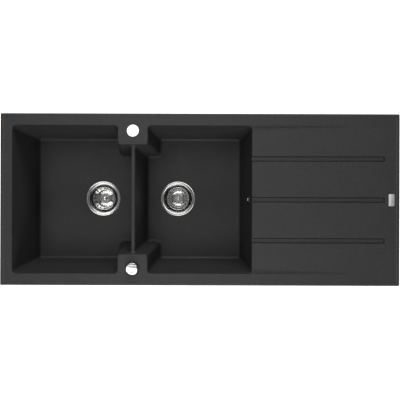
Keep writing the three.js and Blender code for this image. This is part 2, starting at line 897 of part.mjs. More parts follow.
// Plain cuffs at both ends, with ribs between them: each rib is one crest ring and one root ring.
function overflowHose() {
  const route = hoseRoute();
  const cuff = 2 * hoseCrestRadius;
  const ribs = Math.floor((route.length - 2 * cuff) / hosePitch);
  const pitch = (route.length - 2 * cuff) / ribs;
  const rings = [hoseRing(route, 0, hoseRootRadius)];
  for (let rib = 0; rib < ribs; rib += 1) {
    rings.push(hoseRing(route, cuff + rib * pitch, hoseRootRadius));
    rings.push(hoseRing(route, cuff + (rib + 0.5) * pitch, hoseCrestRadius));
  }
  rings.push(hoseRing(route, route.length - cuff, hoseRootRadius));
  rings.push(hoseRing(route, route.length, hoseRootRadius));
  const boreStep = 5 * pitch;
  const boreSteps = Math.ceil(route.length / boreStep);
  const bore = [hoseRing(route, -overcut, hoseBoreRadius)];
  for (let step = 1; step < boreSteps; step += 1) {
    bore.push(hoseRing(route, (step * route.length) / boreSteps, hoseBoreRadius));
  }
  bore.push(hoseRing(route, route.length + overcut, hoseBoreRadius));
  return cut(lofted(rings, true), lofted(bore, true));
}

place("overflow_hose", overflowHose(), "plastic");

// ---- Basket strainer wastes, in a frame whose origin is the middle of the seat ----

const flangeTop = gasketThickness + sheetThickness;
const hubFoot = -cupFloorDepth + sealThickness;
const hubTop = hubFoot + hubHeight;
const hubCeiling = hubFoot + hubCeilingRise; // roof of the hollow under the hub
const hubDeck = hubFoot + hubDeckRise; // floor of the recess round the knob
const basketFloor = hubFoot + basketFloorRise; // underside of the basket's sheet
const lowerGasketFoot = -floorThickness - gasketThickness;
const outletTop = -(bodyBottomDepth + bodyConeHeight);
const outletFoot = outletTop - outletLength;

// Polished dish: a flat lip on its washer, a rounded mouth, a leaning wall and a floor for the basket.
function wasteFlange() {
  const sheet = sheetThickness;
  const shell = turned([
    [clampScrewRadius + screwClearance, -cupFloorDepth - sheet],
    [cupFootRadius, -cupFloorDepth - sheet],
    [cupMouthRadius, -cupFloorDepth + cupFootRise],
    [cupMouthRadius + sheet, -2 * sheet],
    [cupMouthRadius + sheet + flangeNeckStep, 0],
    [gasketInner, gasketThickness],
    [flangeRadius, gasketThickness],
    [flangeRadius - flangeEdgeChamfer, flangeTop],
    [gasketInner + sheet, flangeTop],
    [cupMouthRadius + flangeMouthWidth, flangeTop - flangeMouthDip],
    [cupMouthRadius, -sheet],
    [cupMouthRadius - sheet, -cupFloorDepth + cupFootRise + sheet / 2],
    [cupFootRadius - sheet / 2, -cupFloorDepth],
    [clampScrewRadius + screwClearance, -cupFloorDepth],
  ], roundSides);
  const drains = Array.from({ length: cupDrainCount }, (_, index) => {
    const angle = (2 * Math.PI * index) / cupDrainCount;
    const hole = disc(cupDrainRadius, -cupFloorDepth - 2 * sheet, -cupFloorDepth + sheet, 12);
    return moved(hole, cupDrainCircle * Math.cos(angle), cupDrainCircle * Math.sin(angle));
  });
  return cut(shell, ...drains);
}

function wasteBasket() {
  const wall = basketWall;
  const shell = turned([
    [basketStemRadius + restGap, hubCeiling],
    [hubBoreRadius, hubCeiling],
    [hubBoreRadius, hubFoot],
    [hubRadius, hubFoot],
    [hubRadius, basketFloor],
    [basketFootRadius, basketFloor],
    [basketRimRadius, -basketRimDepth],
    [basketRimRadius - wall, -basketRimDepth],
    [basketFootRadius - basketWallLean, basketFloor + wall],
    [hubRadius, basketFloor + wall],
    [hubRadius - hubShoulder, hubTop],
    [hubRadius - hubShoulder - hubRimWidth, hubTop],
    [hubRadius - 2 * hubShoulder - hubRimWidth, hubDeck],
    [basketStemRadius + restGap, hubDeck],
  ], basketSides);
  const slots = Array.from({ length: basketSlotCount }, (_, index) => block(
    [basketSlotInner, -basketSlotWidth / 2, basketFloor - overcut],
    [basketSlotOuter, basketSlotWidth / 2, basketFloor + 2 * wall],
  ).rotate([0, 0, (360 * index) / basketSlotCount]));
  return cut(shell, ...slots);
}

// Pull knob of a basket, with its stem down through the hub.
function basketKnob() {
  return turned([
    [0, hubCeiling],
    [basketStemRadius, hubCeiling],
    [basketStemRadius, hubDeck],
    [basketStemRadius + basketStemCollar, hubDeck],
    [basketStemRadius + basketStemCollar, hubDeck + basketKnobHeight * 0.3],
    [basketKnobRadius, hubDeck + basketKnobHeight * 0.5],
    [basketKnobRadius, hubDeck + basketKnobHeight - basketKnobChamfer],
    [basketKnobRadius - basketKnobChamfer, hubDeck + basketKnobHeight],
    [0, hubDeck + basketKnobHeight],
  ], 20);
}

// A funnel under the floor: flange against the lower washer, hub for the clamp screw on three ribs,
// cone and the outlet pipe's socket. The right one also has the overflow's port, the lever's hole and the cable's ear.
function wasteBody(withLift) {
  const socketInner = outletRadius + restGap;
  const funnel = turned([
    [socketInner, outletTop - socketLength],
    [socketInner + socketWall, outletTop - socketLength],
    [socketInner + socketWall, outletTop + socketLip],
    [bodyOuter, -bodyBottomDepth],
    [bodyOuter, lowerGasketFoot - bodyFlangeThickness],
    [bodyOuter + bodyFlangeWidth, lowerGasketFoot - bodyFlangeThickness],
    [bodyOuter + bodyFlangeWidth, lowerGasketFoot],
    [bodyInner, lowerGasketFoot],
    [bodyInner, -bodyBottomDepth + bodyWall / 2],
    [outletRadius - outletWall, outletTop + socketLip],
    [outletRadius - outletWall, outletTop],
    [socketInner, outletTop],
  ], roundSides);
  const hub = ring(clampScrewRadius + screwClearance, bodyHubRadius, -bodyHubBottom, -bodyHubTop, 20);
  const ribs = [60, 180, 300].map((angle) => block(
    [bodyHubRadius - bodyRibThickness / 2, -bodyRibThickness / 2, -bodyHubBottom + bodyRibInset],
    [bodyInner + overcut, bodyRibThickness / 2, -bodyHubTop - bodyRibInset],
  ).rotate([0, 0, angle]));
  const body = joined(funnel, hub, ...ribs);
  if (!withLift) return body;
  const portStart = bodyInner + overcut;
  const port = crossDisc(overflowPipeRadius, portStart, bodyOuter + overflowPortReach);
  const portBore = crossDisc(overflowPipeBore, portStart - 4 * overcut, hoseEndX - rightWasteX);
  const shaftHole = disc(liftShaftRadius + screwClearance, 0, bodyOuter + overcut, 16).rotate([90, 0, 0]);
  const earHalf = ferruleRadius + bracketEdge;
  const ear = cut(
    block(
      [bracketX - bracketThickness, coreY - earHalf, eyeHeight - earHalf],
      [bracketX, -Math.sqrt(bodyOuter ** 2 - bracketX ** 2) + bodyWall / 2, -bodyBottomDepth + bracketRise],
    ),
    moved(crossDisc(ferruleRadius + screwClearance, bracketX - 2 * bracketThickness, bracketX + overcut),
      0, coreY, eyeHeight),
  );
  return cut(
    joined(body, moved(port, 0, 0, -overflowPortDepth), ear),
    moved(portBore, 0, 0, -overflowPortDepth),
    moved(shaftHole, leverX, 0, leverHeight),
  );
}

// The lever's shaft crosses the right body's wall; its angle swings evenly about the level position.
const liftHalfAngle = Math.asin(liftTravel / 2 / liftArm);
const liftTipHeight = -liftPinDepth - restGap - liftTipRadius;
const leverX = liftArm * Math.cos(liftHalfAngle);
const leverHeight = liftTipHeight + liftTravel / 2;
const leverWallY = -Math.sqrt(bodyOuter ** 2 - leverX ** 2);
const wheelFace = leverWallY - wheelGap;
const eyeX = leverX + eyeOffset * Math.sin(liftHalfAngle);
const eyeHeight = leverHeight - eyeOffset * Math.cos(liftHalfAngle);
const coreY = wheelFace - wheelThickness - 2 * coreRadius;
const ferruleEndX = bracketX - bracketThickness - ferruleGrip;

function clampScrew(hollow) {
  const screw = joined(
    disc(clampScrewRadius, -bodyHubBottom - clampTail, -cupFloorDepth + overcut, 16),
    disc(clampHeadRadius, -cupFloorDepth, -cupFloorDepth + clampHeadHeight, 20),
  );
  if (!hollow) return screw;
  return cut(screw, disc(liftPinRadius + screwClearance, -liftPinDepth, 0, 16));
}

// Lever in a frame on its shaft's axis: inner arm to -X with a round tip, shaft to -Y, and on its outer
// end a wheel whose eye, at the bottom, holds the cable.
function liftLever() {
  const side = liftArmWidth / 2;
  const shaftEnd = 2 * side;
  const shaftLength = shaftEnd - wheelFace + wheelThickness;
  const shaft = moved(disc(liftShaftRadius, 0, shaftLength, 16).rotate([90, 0, 0]), 0, shaftEnd);
  const arm = block([-liftArm, -side, -liftArmThickness / 2], [0, side, liftArmThickness / 2]);
  const tip = moved(disc(liftTipRadius, -side, side, 16).rotate([90, 0, 0]), -liftArm, 0);
  const holeRadius = nippleRadius + 2 * screwClearance;
  const wheelMiddle = wheelFace - wheelThickness / 2;
  const wheel = moved(
    disc(eyeOffset + wheelEdge, -wheelThickness / 2, wheelThickness / 2, 24).rotate([90, 0, 0]),
    0,
    wheelMiddle,
  );
  const hole = moved(disc(holeRadius, -wheelThickness, wheelThickness, 12).rotate([90, 0, 0]),
    0, wheelMiddle, -eyeOffset);
  return cut(joined(shaft, arm, tip, wheel), hole);
}

// Wire from the ferrule to the cable wheel, with a round nipple through its eye.
function cableCore() {
  const wire = crossDisc(coreRadius, bracketX - bracketThickness, eyeX + nippleRadius, 8);
  const nipple = disc(nippleRadius, 0, wheelThickness + 4 * coreRadius, 12).rotate([-90, 0, 0]);
  return joined(
    moved(wire, 0, coreY, eyeHeight),
    moved(nipple, eyeX, coreY - coreRadius / 2, eyeHeight),
  );
}

function cableFerrule() {
  const tube = crossRing(coreRadius + screwClearance, ferruleRadius, ferruleEndX, ferruleEndX + ferruleLength, 16);
  const collar = crossRing(
    coreRadius + screwClearance,
    ferruleRadius + ferruleCollarStep,
    bracketX - bracketThickness - restGap - ferruleCollarLength,
    bracketX - bracketThickness - restGap,
    16,
  );
  return moved(joined(tube, collar), 0, coreY, eyeHeight);
}

bowls.forEach((bowl) => {
  const waste = new THREE.Group();
  waste.position.set(bowl.wasteX, 0, seatHeight);
  sink.add(waste);
  const hasLift = bowl.side > 0;
  const add = (name, solid, finish) => place(`${bowl.name}_${name}`, solid, finish, waste);
  add("flange", wasteFlange(), "polished");
  add("upper_gasket", ring(gasketInner + restGap, gasketOuter, 0, gasketThickness, roundSides), "rubber");
  add(
    "lower_gasket",
    ring(wasteHoleRadius + restGap, bodyOuter + bodyFlangeWidth, lowerGasketFoot, -floorThickness, roundSides),
    "rubber",
  );
  add("waste_body", wasteBody(hasLift), "plastic");
  add("tail_pipe", ring(outletRadius - outletWall, outletRadius, outletFoot, outletTop - restGap), "plastic");
  add("clamp_screw", clampScrew(hasLift), "brushed");
  add("basket", wasteBasket(), "polished");
  add("basket_seal", ring(hubBoreRadius, hubRadius, -cupFloorDepth, hubFoot), "rubber");
  add("basket_knob", basketKnob(), "polished");
  add(
    "outlet_nut",
    ring(outletRadius + nutClearance, outletNutRadius, -outletNutDepth - outletNutHeight, -outletNutDepth),
    "plastic",
  );
  if (!hasLift) return;
  add("lift_pin", disc(liftPinRadius, -liftPinDepth, hubCeiling - restGap, 12), "brushed");
  const lever = add("lift_lever", liftLever(), "plastic");
  lever.position.set(leverX, 0, leverHeight);
  lever.rotation.y = -liftHalfAngle;
  add("cable_core", cableCore(), "zinc");
  add("cable_ferrule", cableFerrule(), "zinc");
});

// ---- Waste control on the front ledge, in a frame whose origin is the hole's middle at the deck ----

const controlY = -ledgeHoleY;
const escutcheonTop = controlGasketThickness + escutcheonThickness;
const knobFoot = escutcheonTop + restGap;
const spindleTop = knobFoot + knobDiscHeight - knobSocketCover;
const caseTop = -caseOffset;
const caseFoot = caseTop - caseWall - caseHeight;
const caseRadius = drumRadius + drumClearance + caseWall;

// A rounded disc with a raised grip bar across it, hollow below for the spindle.
function controlKnob() {
  const body = turned([
    [0, knobFoot],
    [knobRadius, knobFoot],
    [knobRadius, knobFoot + knobDiscHeight - knobChamfer],
    [knobRadius - knobChamfer, knobFoot + knobDiscHeight],
    [0, knobFoot + knobDiscHeight],
  ], 28);
  const bar = block(
    [-knobRadius, -knobGripWidth / 2, knobFoot + knobDiscHeight - overcut],
    [knobRadius, knobGripWidth / 2, knobFoot + knobDiscHeight + knobGripHeight],
  );
  const round = disc(knobRadius - knobEdgeInset, knobFoot, knobFoot + knobDiscHeight + 2 * knobGripHeight, 28);
  const socket = disc(spindleRadius + restGap, knobFoot - overcut, spindleTop + restGap, 20);
  return cut(joined(body, bar.intersect(round)), socket);
}

// Threaded shank through the ledge, with the drum's open case below it.
function controlHousing() {
  const shank = disc(shankRadius, caseTop - caseWall / 2, controlGasketThickness, 24);
  const shell = disc(caseRadius, caseFoot, caseTop, 24);
  const hollow = disc(drumRadius + drumClearance, caseFoot - overcut, caseTop - caseWall, 24);
  const bore = disc(spindleRadius + restGap, caseFoot, controlGasketThickness + overcut, 20);
  return cut(joined(shank, shell), hollow, bore);
}

const control = new THREE.Group();
control.position.set(dividerX, controlY, deckTop);
sink.add(control);

const drumTop = caseTop - caseWall - drumClearance;
place(
  "control_gasket",
  ring(shankRadius + restGap, escutcheonRadius - knobEdgeInset, 0, controlGasketThickness),
  "rubber",
  control,
);
place(
  "control_escutcheon",
  ring(spindleRadius + restGap, escutcheonRadius, controlGasketThickness, escutcheonTop),
  "plastic",
  control,
);
place("control_knob", controlKnob(), "polished", control);
place("control_housing", controlHousing(), "plastic", control);
place(
  "control_lock_nut",
  ring(shankRadius + restGap, lockNutRadius, -deckTop - lockNutHeight, -deckTop),
  "plastic",
  control,
);
place("control_spindle", disc(spindleRadius, drumTop - drumThickness - spindleTail, spindleTop, 20), "zinc", control);
place(
  "cable_drum",
  ring(spindleRadius + restGap, drumRadius, drumTop - drumThickness, drumTop),
  "plastic",
  control,
);
place("control_cover", disc(caseRadius, caseFoot - caseWall, caseFoot, 24), "plastic", control);

// ---- Control cable: sheath from the control's cover, under the floor, to the right waste's ferrule ----

// Points of the sheath's route, as shares of the way from the control to the ferrule: along X, Y and Z.
const sheathShares = [
  [0, 0, 0.24],
  [0, 0, 0.49],
  [0.01, 0.02, 0.69],
  [0.07, 0.11, 0.87],
  [0.25, 0.32, 0.97],
  [0.5, 0.58, 1.01],
  [0.75, 0.96, 1],
];

function cableSheath() {
  const start = [dividerX + sheathOffset, controlY, deckTop + caseFoot - caseWall - restGap];
  const end = [rightWasteX + ferruleEndX - restGap, coreY, seatHeight + eyeHeight];
  const points = [
    start,
    ...sheathShares.map((shares) => shares.map((share, axis) => start[axis] + share * (end[axis] - start[axis]))),
    [end[0] - sheathEndRun, coreY, end[2]],
    end,
  ];
  const path = new THREE.CatmullRomCurve3(points.map((point) => new THREE.Vector3(...point)));
  const sides = 8;
  const section = new THREE.Shape(Array.from({ length: sides }, (_, index) => {
    const angle = (2 * Math.PI * index) / sides;
    return new THREE.Vector2(sheathRadius * Math.cos(angle), sheathRadius * Math.sin(angle));
  }));
  return solidOf(new THREE.ExtrudeGeometry(section, { steps: 30, extrudePath: path }));
}

place("cable_sheath", cableSheath(), "plastic");

export default sink;
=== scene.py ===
import math

import bpy
import numpy as np
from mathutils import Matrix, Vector


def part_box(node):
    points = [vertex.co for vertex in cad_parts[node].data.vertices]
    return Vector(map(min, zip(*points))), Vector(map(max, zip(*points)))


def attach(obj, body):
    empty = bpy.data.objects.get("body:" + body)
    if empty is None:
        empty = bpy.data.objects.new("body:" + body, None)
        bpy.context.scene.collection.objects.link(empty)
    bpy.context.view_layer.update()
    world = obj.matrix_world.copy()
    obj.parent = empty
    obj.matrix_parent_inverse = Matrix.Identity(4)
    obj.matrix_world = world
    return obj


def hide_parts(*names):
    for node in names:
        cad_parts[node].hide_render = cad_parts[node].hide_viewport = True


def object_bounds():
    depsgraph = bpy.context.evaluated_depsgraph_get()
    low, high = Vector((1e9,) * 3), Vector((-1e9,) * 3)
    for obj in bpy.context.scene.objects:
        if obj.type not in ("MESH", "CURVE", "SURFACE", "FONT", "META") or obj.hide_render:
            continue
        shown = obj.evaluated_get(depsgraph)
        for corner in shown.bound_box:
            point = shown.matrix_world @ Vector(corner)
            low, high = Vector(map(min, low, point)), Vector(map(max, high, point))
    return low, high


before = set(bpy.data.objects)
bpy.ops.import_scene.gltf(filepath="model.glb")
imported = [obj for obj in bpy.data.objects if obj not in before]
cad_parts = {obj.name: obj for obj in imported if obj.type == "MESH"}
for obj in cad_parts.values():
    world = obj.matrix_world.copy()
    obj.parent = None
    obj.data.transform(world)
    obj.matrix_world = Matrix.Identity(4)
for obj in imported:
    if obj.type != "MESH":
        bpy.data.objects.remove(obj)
cad_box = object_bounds()

# ---- Floor, light and camera ----
# The sink hangs over a plain pale floor, as it does in its worktop's cut-out, under wide soft lamps.
# The camera looks straight down from 1.27 m above the rim, a little left of and behind the middle.
sink_low, sink_high = (np.array(corner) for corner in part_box("sink_body"))
rim_top = sink_high[2]
floor_gap, floor_reach = 0.004, 6.0
floor_height = cad_box[0][2] - floor_gap

floor_mesh = bpy.data.meshes.new("floor")
floor_mesh.from_pydata(
    [(x * floor_reach, y * floor_reach, floor_height) for x, y in ((-1, -1), (1, -1), (1, 1), (-1, 1))],
    [],
    [(0, 1, 2, 3)],
)
floor = bpy.data.objects.new("floor", floor_mesh)
bpy.context.collection.objects.link(floor)
floor_paint = bpy.data.materials.new("pale_floor")
floor_paint.use_nodes = True
floor_shader = floor_paint.node_tree.nodes["Principled BSDF"]
floor_shader.inputs["Base Color"].default_value = (0.92, 0.92, 0.92, 1)
floor_shader.inputs["Roughness"].default_value = 0.9
floor_shader.inputs["Emission Color"].default_value = (1, 1, 1, 1)
floor_shader.inputs["Emission Strength"].default_value = 1.0
floor_mesh.materials.append(floor_paint)


def soft_lamp(name, place, target, width, depth, power):
    """A rectangular lamp at a place, turned to face a target."""
    lamp = bpy.data.lights.new(name, "AREA")
    lamp.shape = "RECTANGLE"
    lamp.size = width
    lamp.size_y = depth
    lamp.energy = power
    holder = bpy.data.objects.new(name, lamp)
    holder.location = place
    holder.rotation_euler = (Vector(target) - Vector(place)).to_track_quat("-Z", "Y").to_euler()
    bpy.context.collection.objects.link(holder)


soft_lamp("lamp_above", (0.0, 0.0, 2.45), (0, 0, 0), 3.4, 0.7, 1.6)
for side in (-1, 1):
    soft_lamp(f"lamp_high_{side}", (-0.4, 1.12 * side, 2.3), (0, 0, -0.1), 1.9, 1.2, 22)
    soft_lamp(f"lamp_low_{side}", (0.35, 2.6 * side, 1.3), (0.1, 0, -0.1), 1.6, 1.2, 54)

world = bpy.data.worlds.new("studio")
world.use_nodes = True
world.node_tree.nodes["Background"].inputs["Color"].default_value = (1, 1, 1, 1)
world.node_tree.nodes["Background"].inputs["Strength"].default_value = 0.09
bpy.context.scene.world = world
bpy.context.scene.view_settings.view_transform = "Standard"

camera_distance = 1.27
picture_width = 1.158  # what the picture takes in at rim level, in metres
nadir_x, nadir_y = -0.0172, 0.018  # point of the rim plane straight below the camera
centre_x, centre_y = 0.0002, -0.0012  # point of the rim plane in the middle of the picture
camera_data = bpy.data.cameras.new("camera")
sensor_width = 36
camera_data.sensor_width = sensor_width
camera_data.lens = sensor_width * camera_distance / picture_width
camera_data.shift_x = (centre_x - nadir_x) / picture_width
camera_data.shift_y = (centre_y - nadir_y) / picture_width
camera = bpy.data.objects.new("camera", camera_data)
camera.location = (nadir_x, nadir_y, rim_top + camera_distance)
camera.rotation_euler = (0, 0, math.radians(0.17))
bpy.context.collection.objects.link(camera)
bpy.context.scene.camera = camera

# ---- Sink moulding ----
# One casting of black mineral-filled resin: both bowls, the lowered divider between its two ledges,
# the grooved drainer and the lip round the edge. It is cast in a mould, so every edge and corner is
# rounded, and its skin is matt with a fine pale and dark grain.
MM = 0.001
length, width = (sink_high - sink_low)[:2] / MM
lip_height = rim_top / MM
underside = sink_low[2] / MM
deck = 6.5
edge_foot = 3.2  # height where the rounded outer edge starts, in millimetres as all lengths from here on
floor_at_waste = -191.5
floor_fall = 3.0
floor_at_edge = floor_at_waste + floor_fall
wall = 9.0
divider_x = -195.5
divider_half = 4.5
divider_crest = deck - 12.0
left_end = -545.0
right_end = 152.0
bowl_half = 215.0
ledge_half = 44.0
ledge_front = 159.0
outer_draft, divider_draft, ledge_draft = 14.5, 20.5, 16.0
divider_face_draft = 18.0
middle_reach = 60.0  # how far the space between the ledges runs on past their sides
corner_round, floor_round, mouth_round, rim_round = 11.0, 9.0, 3.0, 4.0
ledge_round_top, ledge_round_growth = 9.0, 7.0
divider_top_round, divider_end_round = 2.5, 9.0
edge_round, lip_inner, lip_foot = 5.5, 7.5, 12.5  # distances in from the outer edge
drainer_end, drainer_fall = 540.0, 6.5
channel_pitch, channel_half, channel_depth = 119.0, 8.7, 3.5
channel_end, channel_round = 536.0, 4.0
channel_edge_outer, channel_edge_inner = 0.2, -1.0  # a channel's side falls between these distances
gutter_depth, gutter_inset, gutter_half = 1.4, 1.9, 0.9  # shallow line just inside a channel's edge
drainer_start, drainer_start_half, drainer_side = 130.0, 2.0, 2.2
waste_offset = 124.5  # waste's axis from the divider's middle
waste_x = {"left": divider_x - waste_offset, "right": divider_x + waste_offset}
seat_radius = 58.3


def smoothstep(low, high, value):
    """0 below low, 1 above high, and 3t^2 - 2t^3 between them."""
    t = np.clip((value - low) / (high - low), 0, 1)
    return t * t * (3 - 2 * t)


def round_meet(a, b, radius):
    """Where both distances are negative, with the corner between them rounded by a radius."""
    corner = np.hypot(np.maximum(a + radius, 0), np.maximum(b + radius, 0))
    return np.minimum(-radius, np.maximum(a, b)) + corner


def round_join(a, b, radius):
    """Where either distance is negative, with the inner corner between them filled by a radius."""
    return -round_meet(-a, -b, radius)


def depth_share(z):
    """0 at the deck and 1 at the foot of the bowls' walls."""
    return (deck - z) / (deck - floor_at_edge)


def wall_share(z):
    """The depth share, carried on a little past both ends of the walls."""
    return np.clip(depth_share(z), -0.05, 1.1)


def divider_face(z):
    """Distance of the divider's faces from its middle, growing downwards with their draft."""
    return divider_half + divider_face_draft * wall_share(z)


def ledge_round(z):
    """Radius between a ledge's side and front, growing from the deck to the walls' foot."""
    return ledge_round_top + ledge_round_growth * np.clip(depth_share(z), 0, 1)


def between_ledges(u, y, z):
    """Signed distance to the space between the ledges, u being the distance from the divider's middle."""
    t = wall_share(z)
    ledge_side = ledge_half + divider_draft * t
    front = ledge_front - ledge_draft * t
    return round_meet(np.abs(y) - front, u - ledge_side - middle_reach, corner_round)


def bowl_walls(side, x, y, z):
    """Signed distances to one bowl's walls without and with its part between the ledges; side is -1 or +1."""
    t = wall_share(z)
    u = side * (x - divider_x)
    far = (right_end - divider_x if side > 0 else divider_x - left_end) - outer_draft * t
    half = bowl_half - outer_draft * t
    main = round_meet(u - far, np.abs(y) - half, corner_round)
    main = round_meet(main, ledge_half + divider_draft * t - u, corner_round)
    middle = round_meet(between_ledges(u, y, z), divider_face(z) - u, corner_round)
    return main, round_join(main, middle, ledge_round(z))


def waste_floor(x, y):
    """Height of the floors: a gentle funnel from the walls' foot to each waste's seat."""
    left = x < divider_x
    centre = np.where(left, waste_x["left"], waste_x["right"])
    to_far = np.where(left, centre - left_end - outer_draft, right_end - outer_draft - centre)
    to_near = waste_offset - divider_half - divider_draft
    away = x - centre
    outward = np.where(left, away < 0, away > 0)
    across = np.abs(away) / np.where(outward, to_far, to_near)
    along = np.abs(y) / (bowl_half - outer_draft)
    share = (across**6 + along**6 + 1e-9) ** (1 / 6)
    radius = np.hypot(away, y)
    way_out = (radius - seat_radius) / np.maximum(radius / share - seat_radius, 1)
    return floor_at_waste + floor_fall * np.clip(way_out, 0, 1.2)


def deck_height(x, y):
    """Height of the top face: lip round the edge, flat deck, falling drainer and its three channels."""
    edge = np.minimum(length / 2 - np.abs(x), width / 2 - np.abs(y))
    rise = np.sqrt(np.clip(1 - (1 - np.clip(edge / edge_round, 0, 1)) ** 2, 0, 1))
    height = edge_foot + (lip_height - edge_foot) * rise
    height = height - (lip_height - deck) * smoothstep(lip_inner, lip_foot, edge)
    on_drainer = smoothstep(drainer_start - drainer_start_half, drainer_start + drainer_start_half, x)
    fall = drainer_fall * np.clip((drainer_end - x) / (drainer_end - right_end), 0, 1.05)
    height = height - fall * (smoothstep(-bowl_half, -bowl_half + drainer_side, -np.abs(y)) * on_drainer)
    for middle in (-channel_pitch, 0, channel_pitch):
        across = np.abs(y - middle) - (channel_half - channel_round)
        along = x - (channel_end - channel_round)
        outside = np.hypot(np.maximum(across, 0), np.maximum(along, 0))
        distance = outside + np.minimum(np.maximum(across, along), 0) - channel_round
        gutter = gutter_depth * np.exp(-(((distance + gutter_inset) / gutter_half) ** 2))
        sunk = channel_depth * smoothstep(channel_edge_outer, channel_edge_inner, distance)
        height = height - (sunk + gutter) * on_drainer
    return height


def water_side(x, y, z):
    """Signed distance to the air above the moulding: over the deck, or in a bowl."""
    u = np.abs(x - divider_x)
    divider = round_meet(u - divider_face(z), z - divider_crest, divider_top_round)
    middle = round_meet(between_ledges(u, y, z), -divider, divider_end_round)
    mains = [bowl_walls(side, x, y, z)[0] for side in (-1, 1)]
    bowls = round_join(np.minimum(*mains), middle, ledge_round(z))
    bowls = round_meet(bowls, waste_floor(x, y) - z, floor_round)
    return round_join(deck_height(x, y) - z, bowls, mouth_round)


clip_side, clip_end = 229.5, 559.5
clip_spots = [(x, y) for y in (-clip_side, clip_side) for x in (-430.0, 20.0, 400.0)]
clip_spots += [(-clip_end, 0.0), (clip_end, 0.0)]
plate_under, skirt_under, boss_under, boss_radius = 8.5, 30.0, 34.0, 8.0
plate_left, plate_right, plate_half = 140.5, 561.5, 232.0
skirt_right, skirt_half = 554.0, 224.0  # inner faces of the skirt under the drainer


def past(place, value):
    """0 before a place and 1 after it, with a steep face 1 mm wide."""
    return smoothstep(place - 0.5, place + 0.5, value)


def underside_height(x, y):
    """Height of the lower face away from the bowls: rim, drainer plate, skirt and the clips' bosses."""
    ay = np.abs(y)
    plate = past(plate_left, x) * past(-plate_right, -x) * past(-plate_half, -ay)
    in_skirt = np.maximum(past(skirt_half, ay), past(skirt_right, x))
    height = -plate_under * plate - (skirt_under - plate_under) * plate * in_skirt
    for spot_x, spot_y in clip_spots:
        boss = smoothstep(boss_radius + 0.3, boss_radius - 0.3, np.hypot(x - spot_x, y - spot_y))
        height = np.minimum(height, -boss_under * boss)
    return height


def far_side(x, y, z):
    """Signed distance to the moulding from below, negative in the material."""
    shells = [bowl_walls(side, x, y, z)[1] - wall for side in (-1, 1)]
    shell = round_meet(np.minimum(*shells), underside - z, floor_round + wall)
    return round_join(underside_height(x, y) - z, shell, rim_round)


def height_where(distance, x, y, low, high, halvings=26):
    """Height at which a signed distance turns negative, by halving the span between low and high."""
    lower = np.full_like(x, low)
    upper = np.full_like(x, high)
    for _ in range(halvings):
        z = (lower + upper) / 2
        inside = distance(x, y, z) < 0
        upper = np.where(inside, z, upper)
        lower = np.where(inside, lower, z)
    return (lower + upper) / 2


def grid_lines(stretches):
    """Grid lines through stretches given as (start, end, step), each divided evenly."""
    parts = [np.linspace(a, b, max(1, round(abs(b - a) / step)) + 1) for a, b, step in stretches]
    return np.unique(np.round(np.concatenate(parts), 4))


def mirrored(stretches):
    """The same stretches on both sides of zero."""
    return stretches + [(-b, -a, step) for a, b, step in stretches]


def round_outline(x, y, radius=4.0):
    """Square corners pressed onto quarter circles: u becomes u sqrt(1 - v^2 / 2), and v likewise."""
    u = np.clip((np.abs(x) - (length / 2 - radius)) / radius, 0, 1)
    v = np.clip((np.abs(y) - (width / 2 - radius)) / radius, 0, 1)
    du = radius * u * (np.sqrt(1 - v * v / 2) - 1)
    dv = radius * v * (np.sqrt(1 - u * u / 2) - 1)
    return x + np.sign(x) * du, y + np.sign(y) * dv


def rim_loop(columns, rows):
    """Indices round a grid's border, counterclockwise from its low corner."""
    index = np.arange(columns * rows).reshape(columns, rows)
    return np.concatenate([index[:-1, 0], index[-1, :-1], index[:0:-1, -1], index[0, :0:-1]])


def border_share(x, y, loop):
    """Distance of the border's points along the outline, from its low corner."""
    steps = np.hypot(np.diff(x[loop], append=x[loop[0]]), np.diff(y[loop], append=y[loop[0]]))
    return np.concatenate([[0], np.cumsum(steps)[:-1]]), steps.sum()


# The top and the lower surface are heights over two grids, whose lines stand closest where a surface turns.
# Each stretch of lines is (start, end, step) in millimetres.
half_l, half_w = length / 2, width / 2
top_x = grid_lines([
    (-half_l, -half_l + 13, 0.9), (-half_l + 13, left_end - 4, 6), (left_end - 4, left_end + 4, 0.7),
    (left_end + 4, left_end + 11, 3), (left_end + 11, left_end + 26, 0.9), (left_end + 26, -272, 12),
    (-272, -119, 1.5), (-119, right_end - 26, 12), (right_end - 26, right_end - 11, 0.9),
    (right_end - 11, right_end - 4, 3), (right_end - 4, right_end + 4, 0.7),
    (right_end + 4, channel_end - 6, 14), (channel_end - 6, channel_end + 2, 0.8),
    (channel_end + 2, half_l - 13, 6), (half_l - 13, half_l, 0.9),
])
top_y = grid_lines(mirrored([
    (half_w - 13, half_w, 0.9), (bowl_half + 4, half_w - 13, 5), (bowl_half - 4, bowl_half + 4, 0.7),
    (bowl_half - 11, bowl_half - 4, 3), (bowl_half - 26, bowl_half - 11, 0.9), (163, bowl_half - 26, 5),
    (130, 163, 1.5), (128.5, 130, 1.5), (124.5, 128.5, 0.4), (113.5, 124.5, 4), (109.5, 113.5, 0.4),
    (9.5, 109.5, 12), (5.5, 9.5, 0.4), (0, 5.5, 2.75),
]))
low_x = grid_lines([
    (-half_l, -570, 5), (-570, -520, 2.4), (-520, -275, 12), (-275, -115, 2.6), (-115, 128, 12),
    (128, 168, 2.4), (168, 550, 10), (550, 570, 1), (570, half_l, 5),
])
low_y = grid_lines(mirrored([
    (240, half_w, 5), (222, 240, 1.2), (195, 222, 2.6), (172, 195, 6), (128, 172, 2.6), (0, 128, 10),
]))

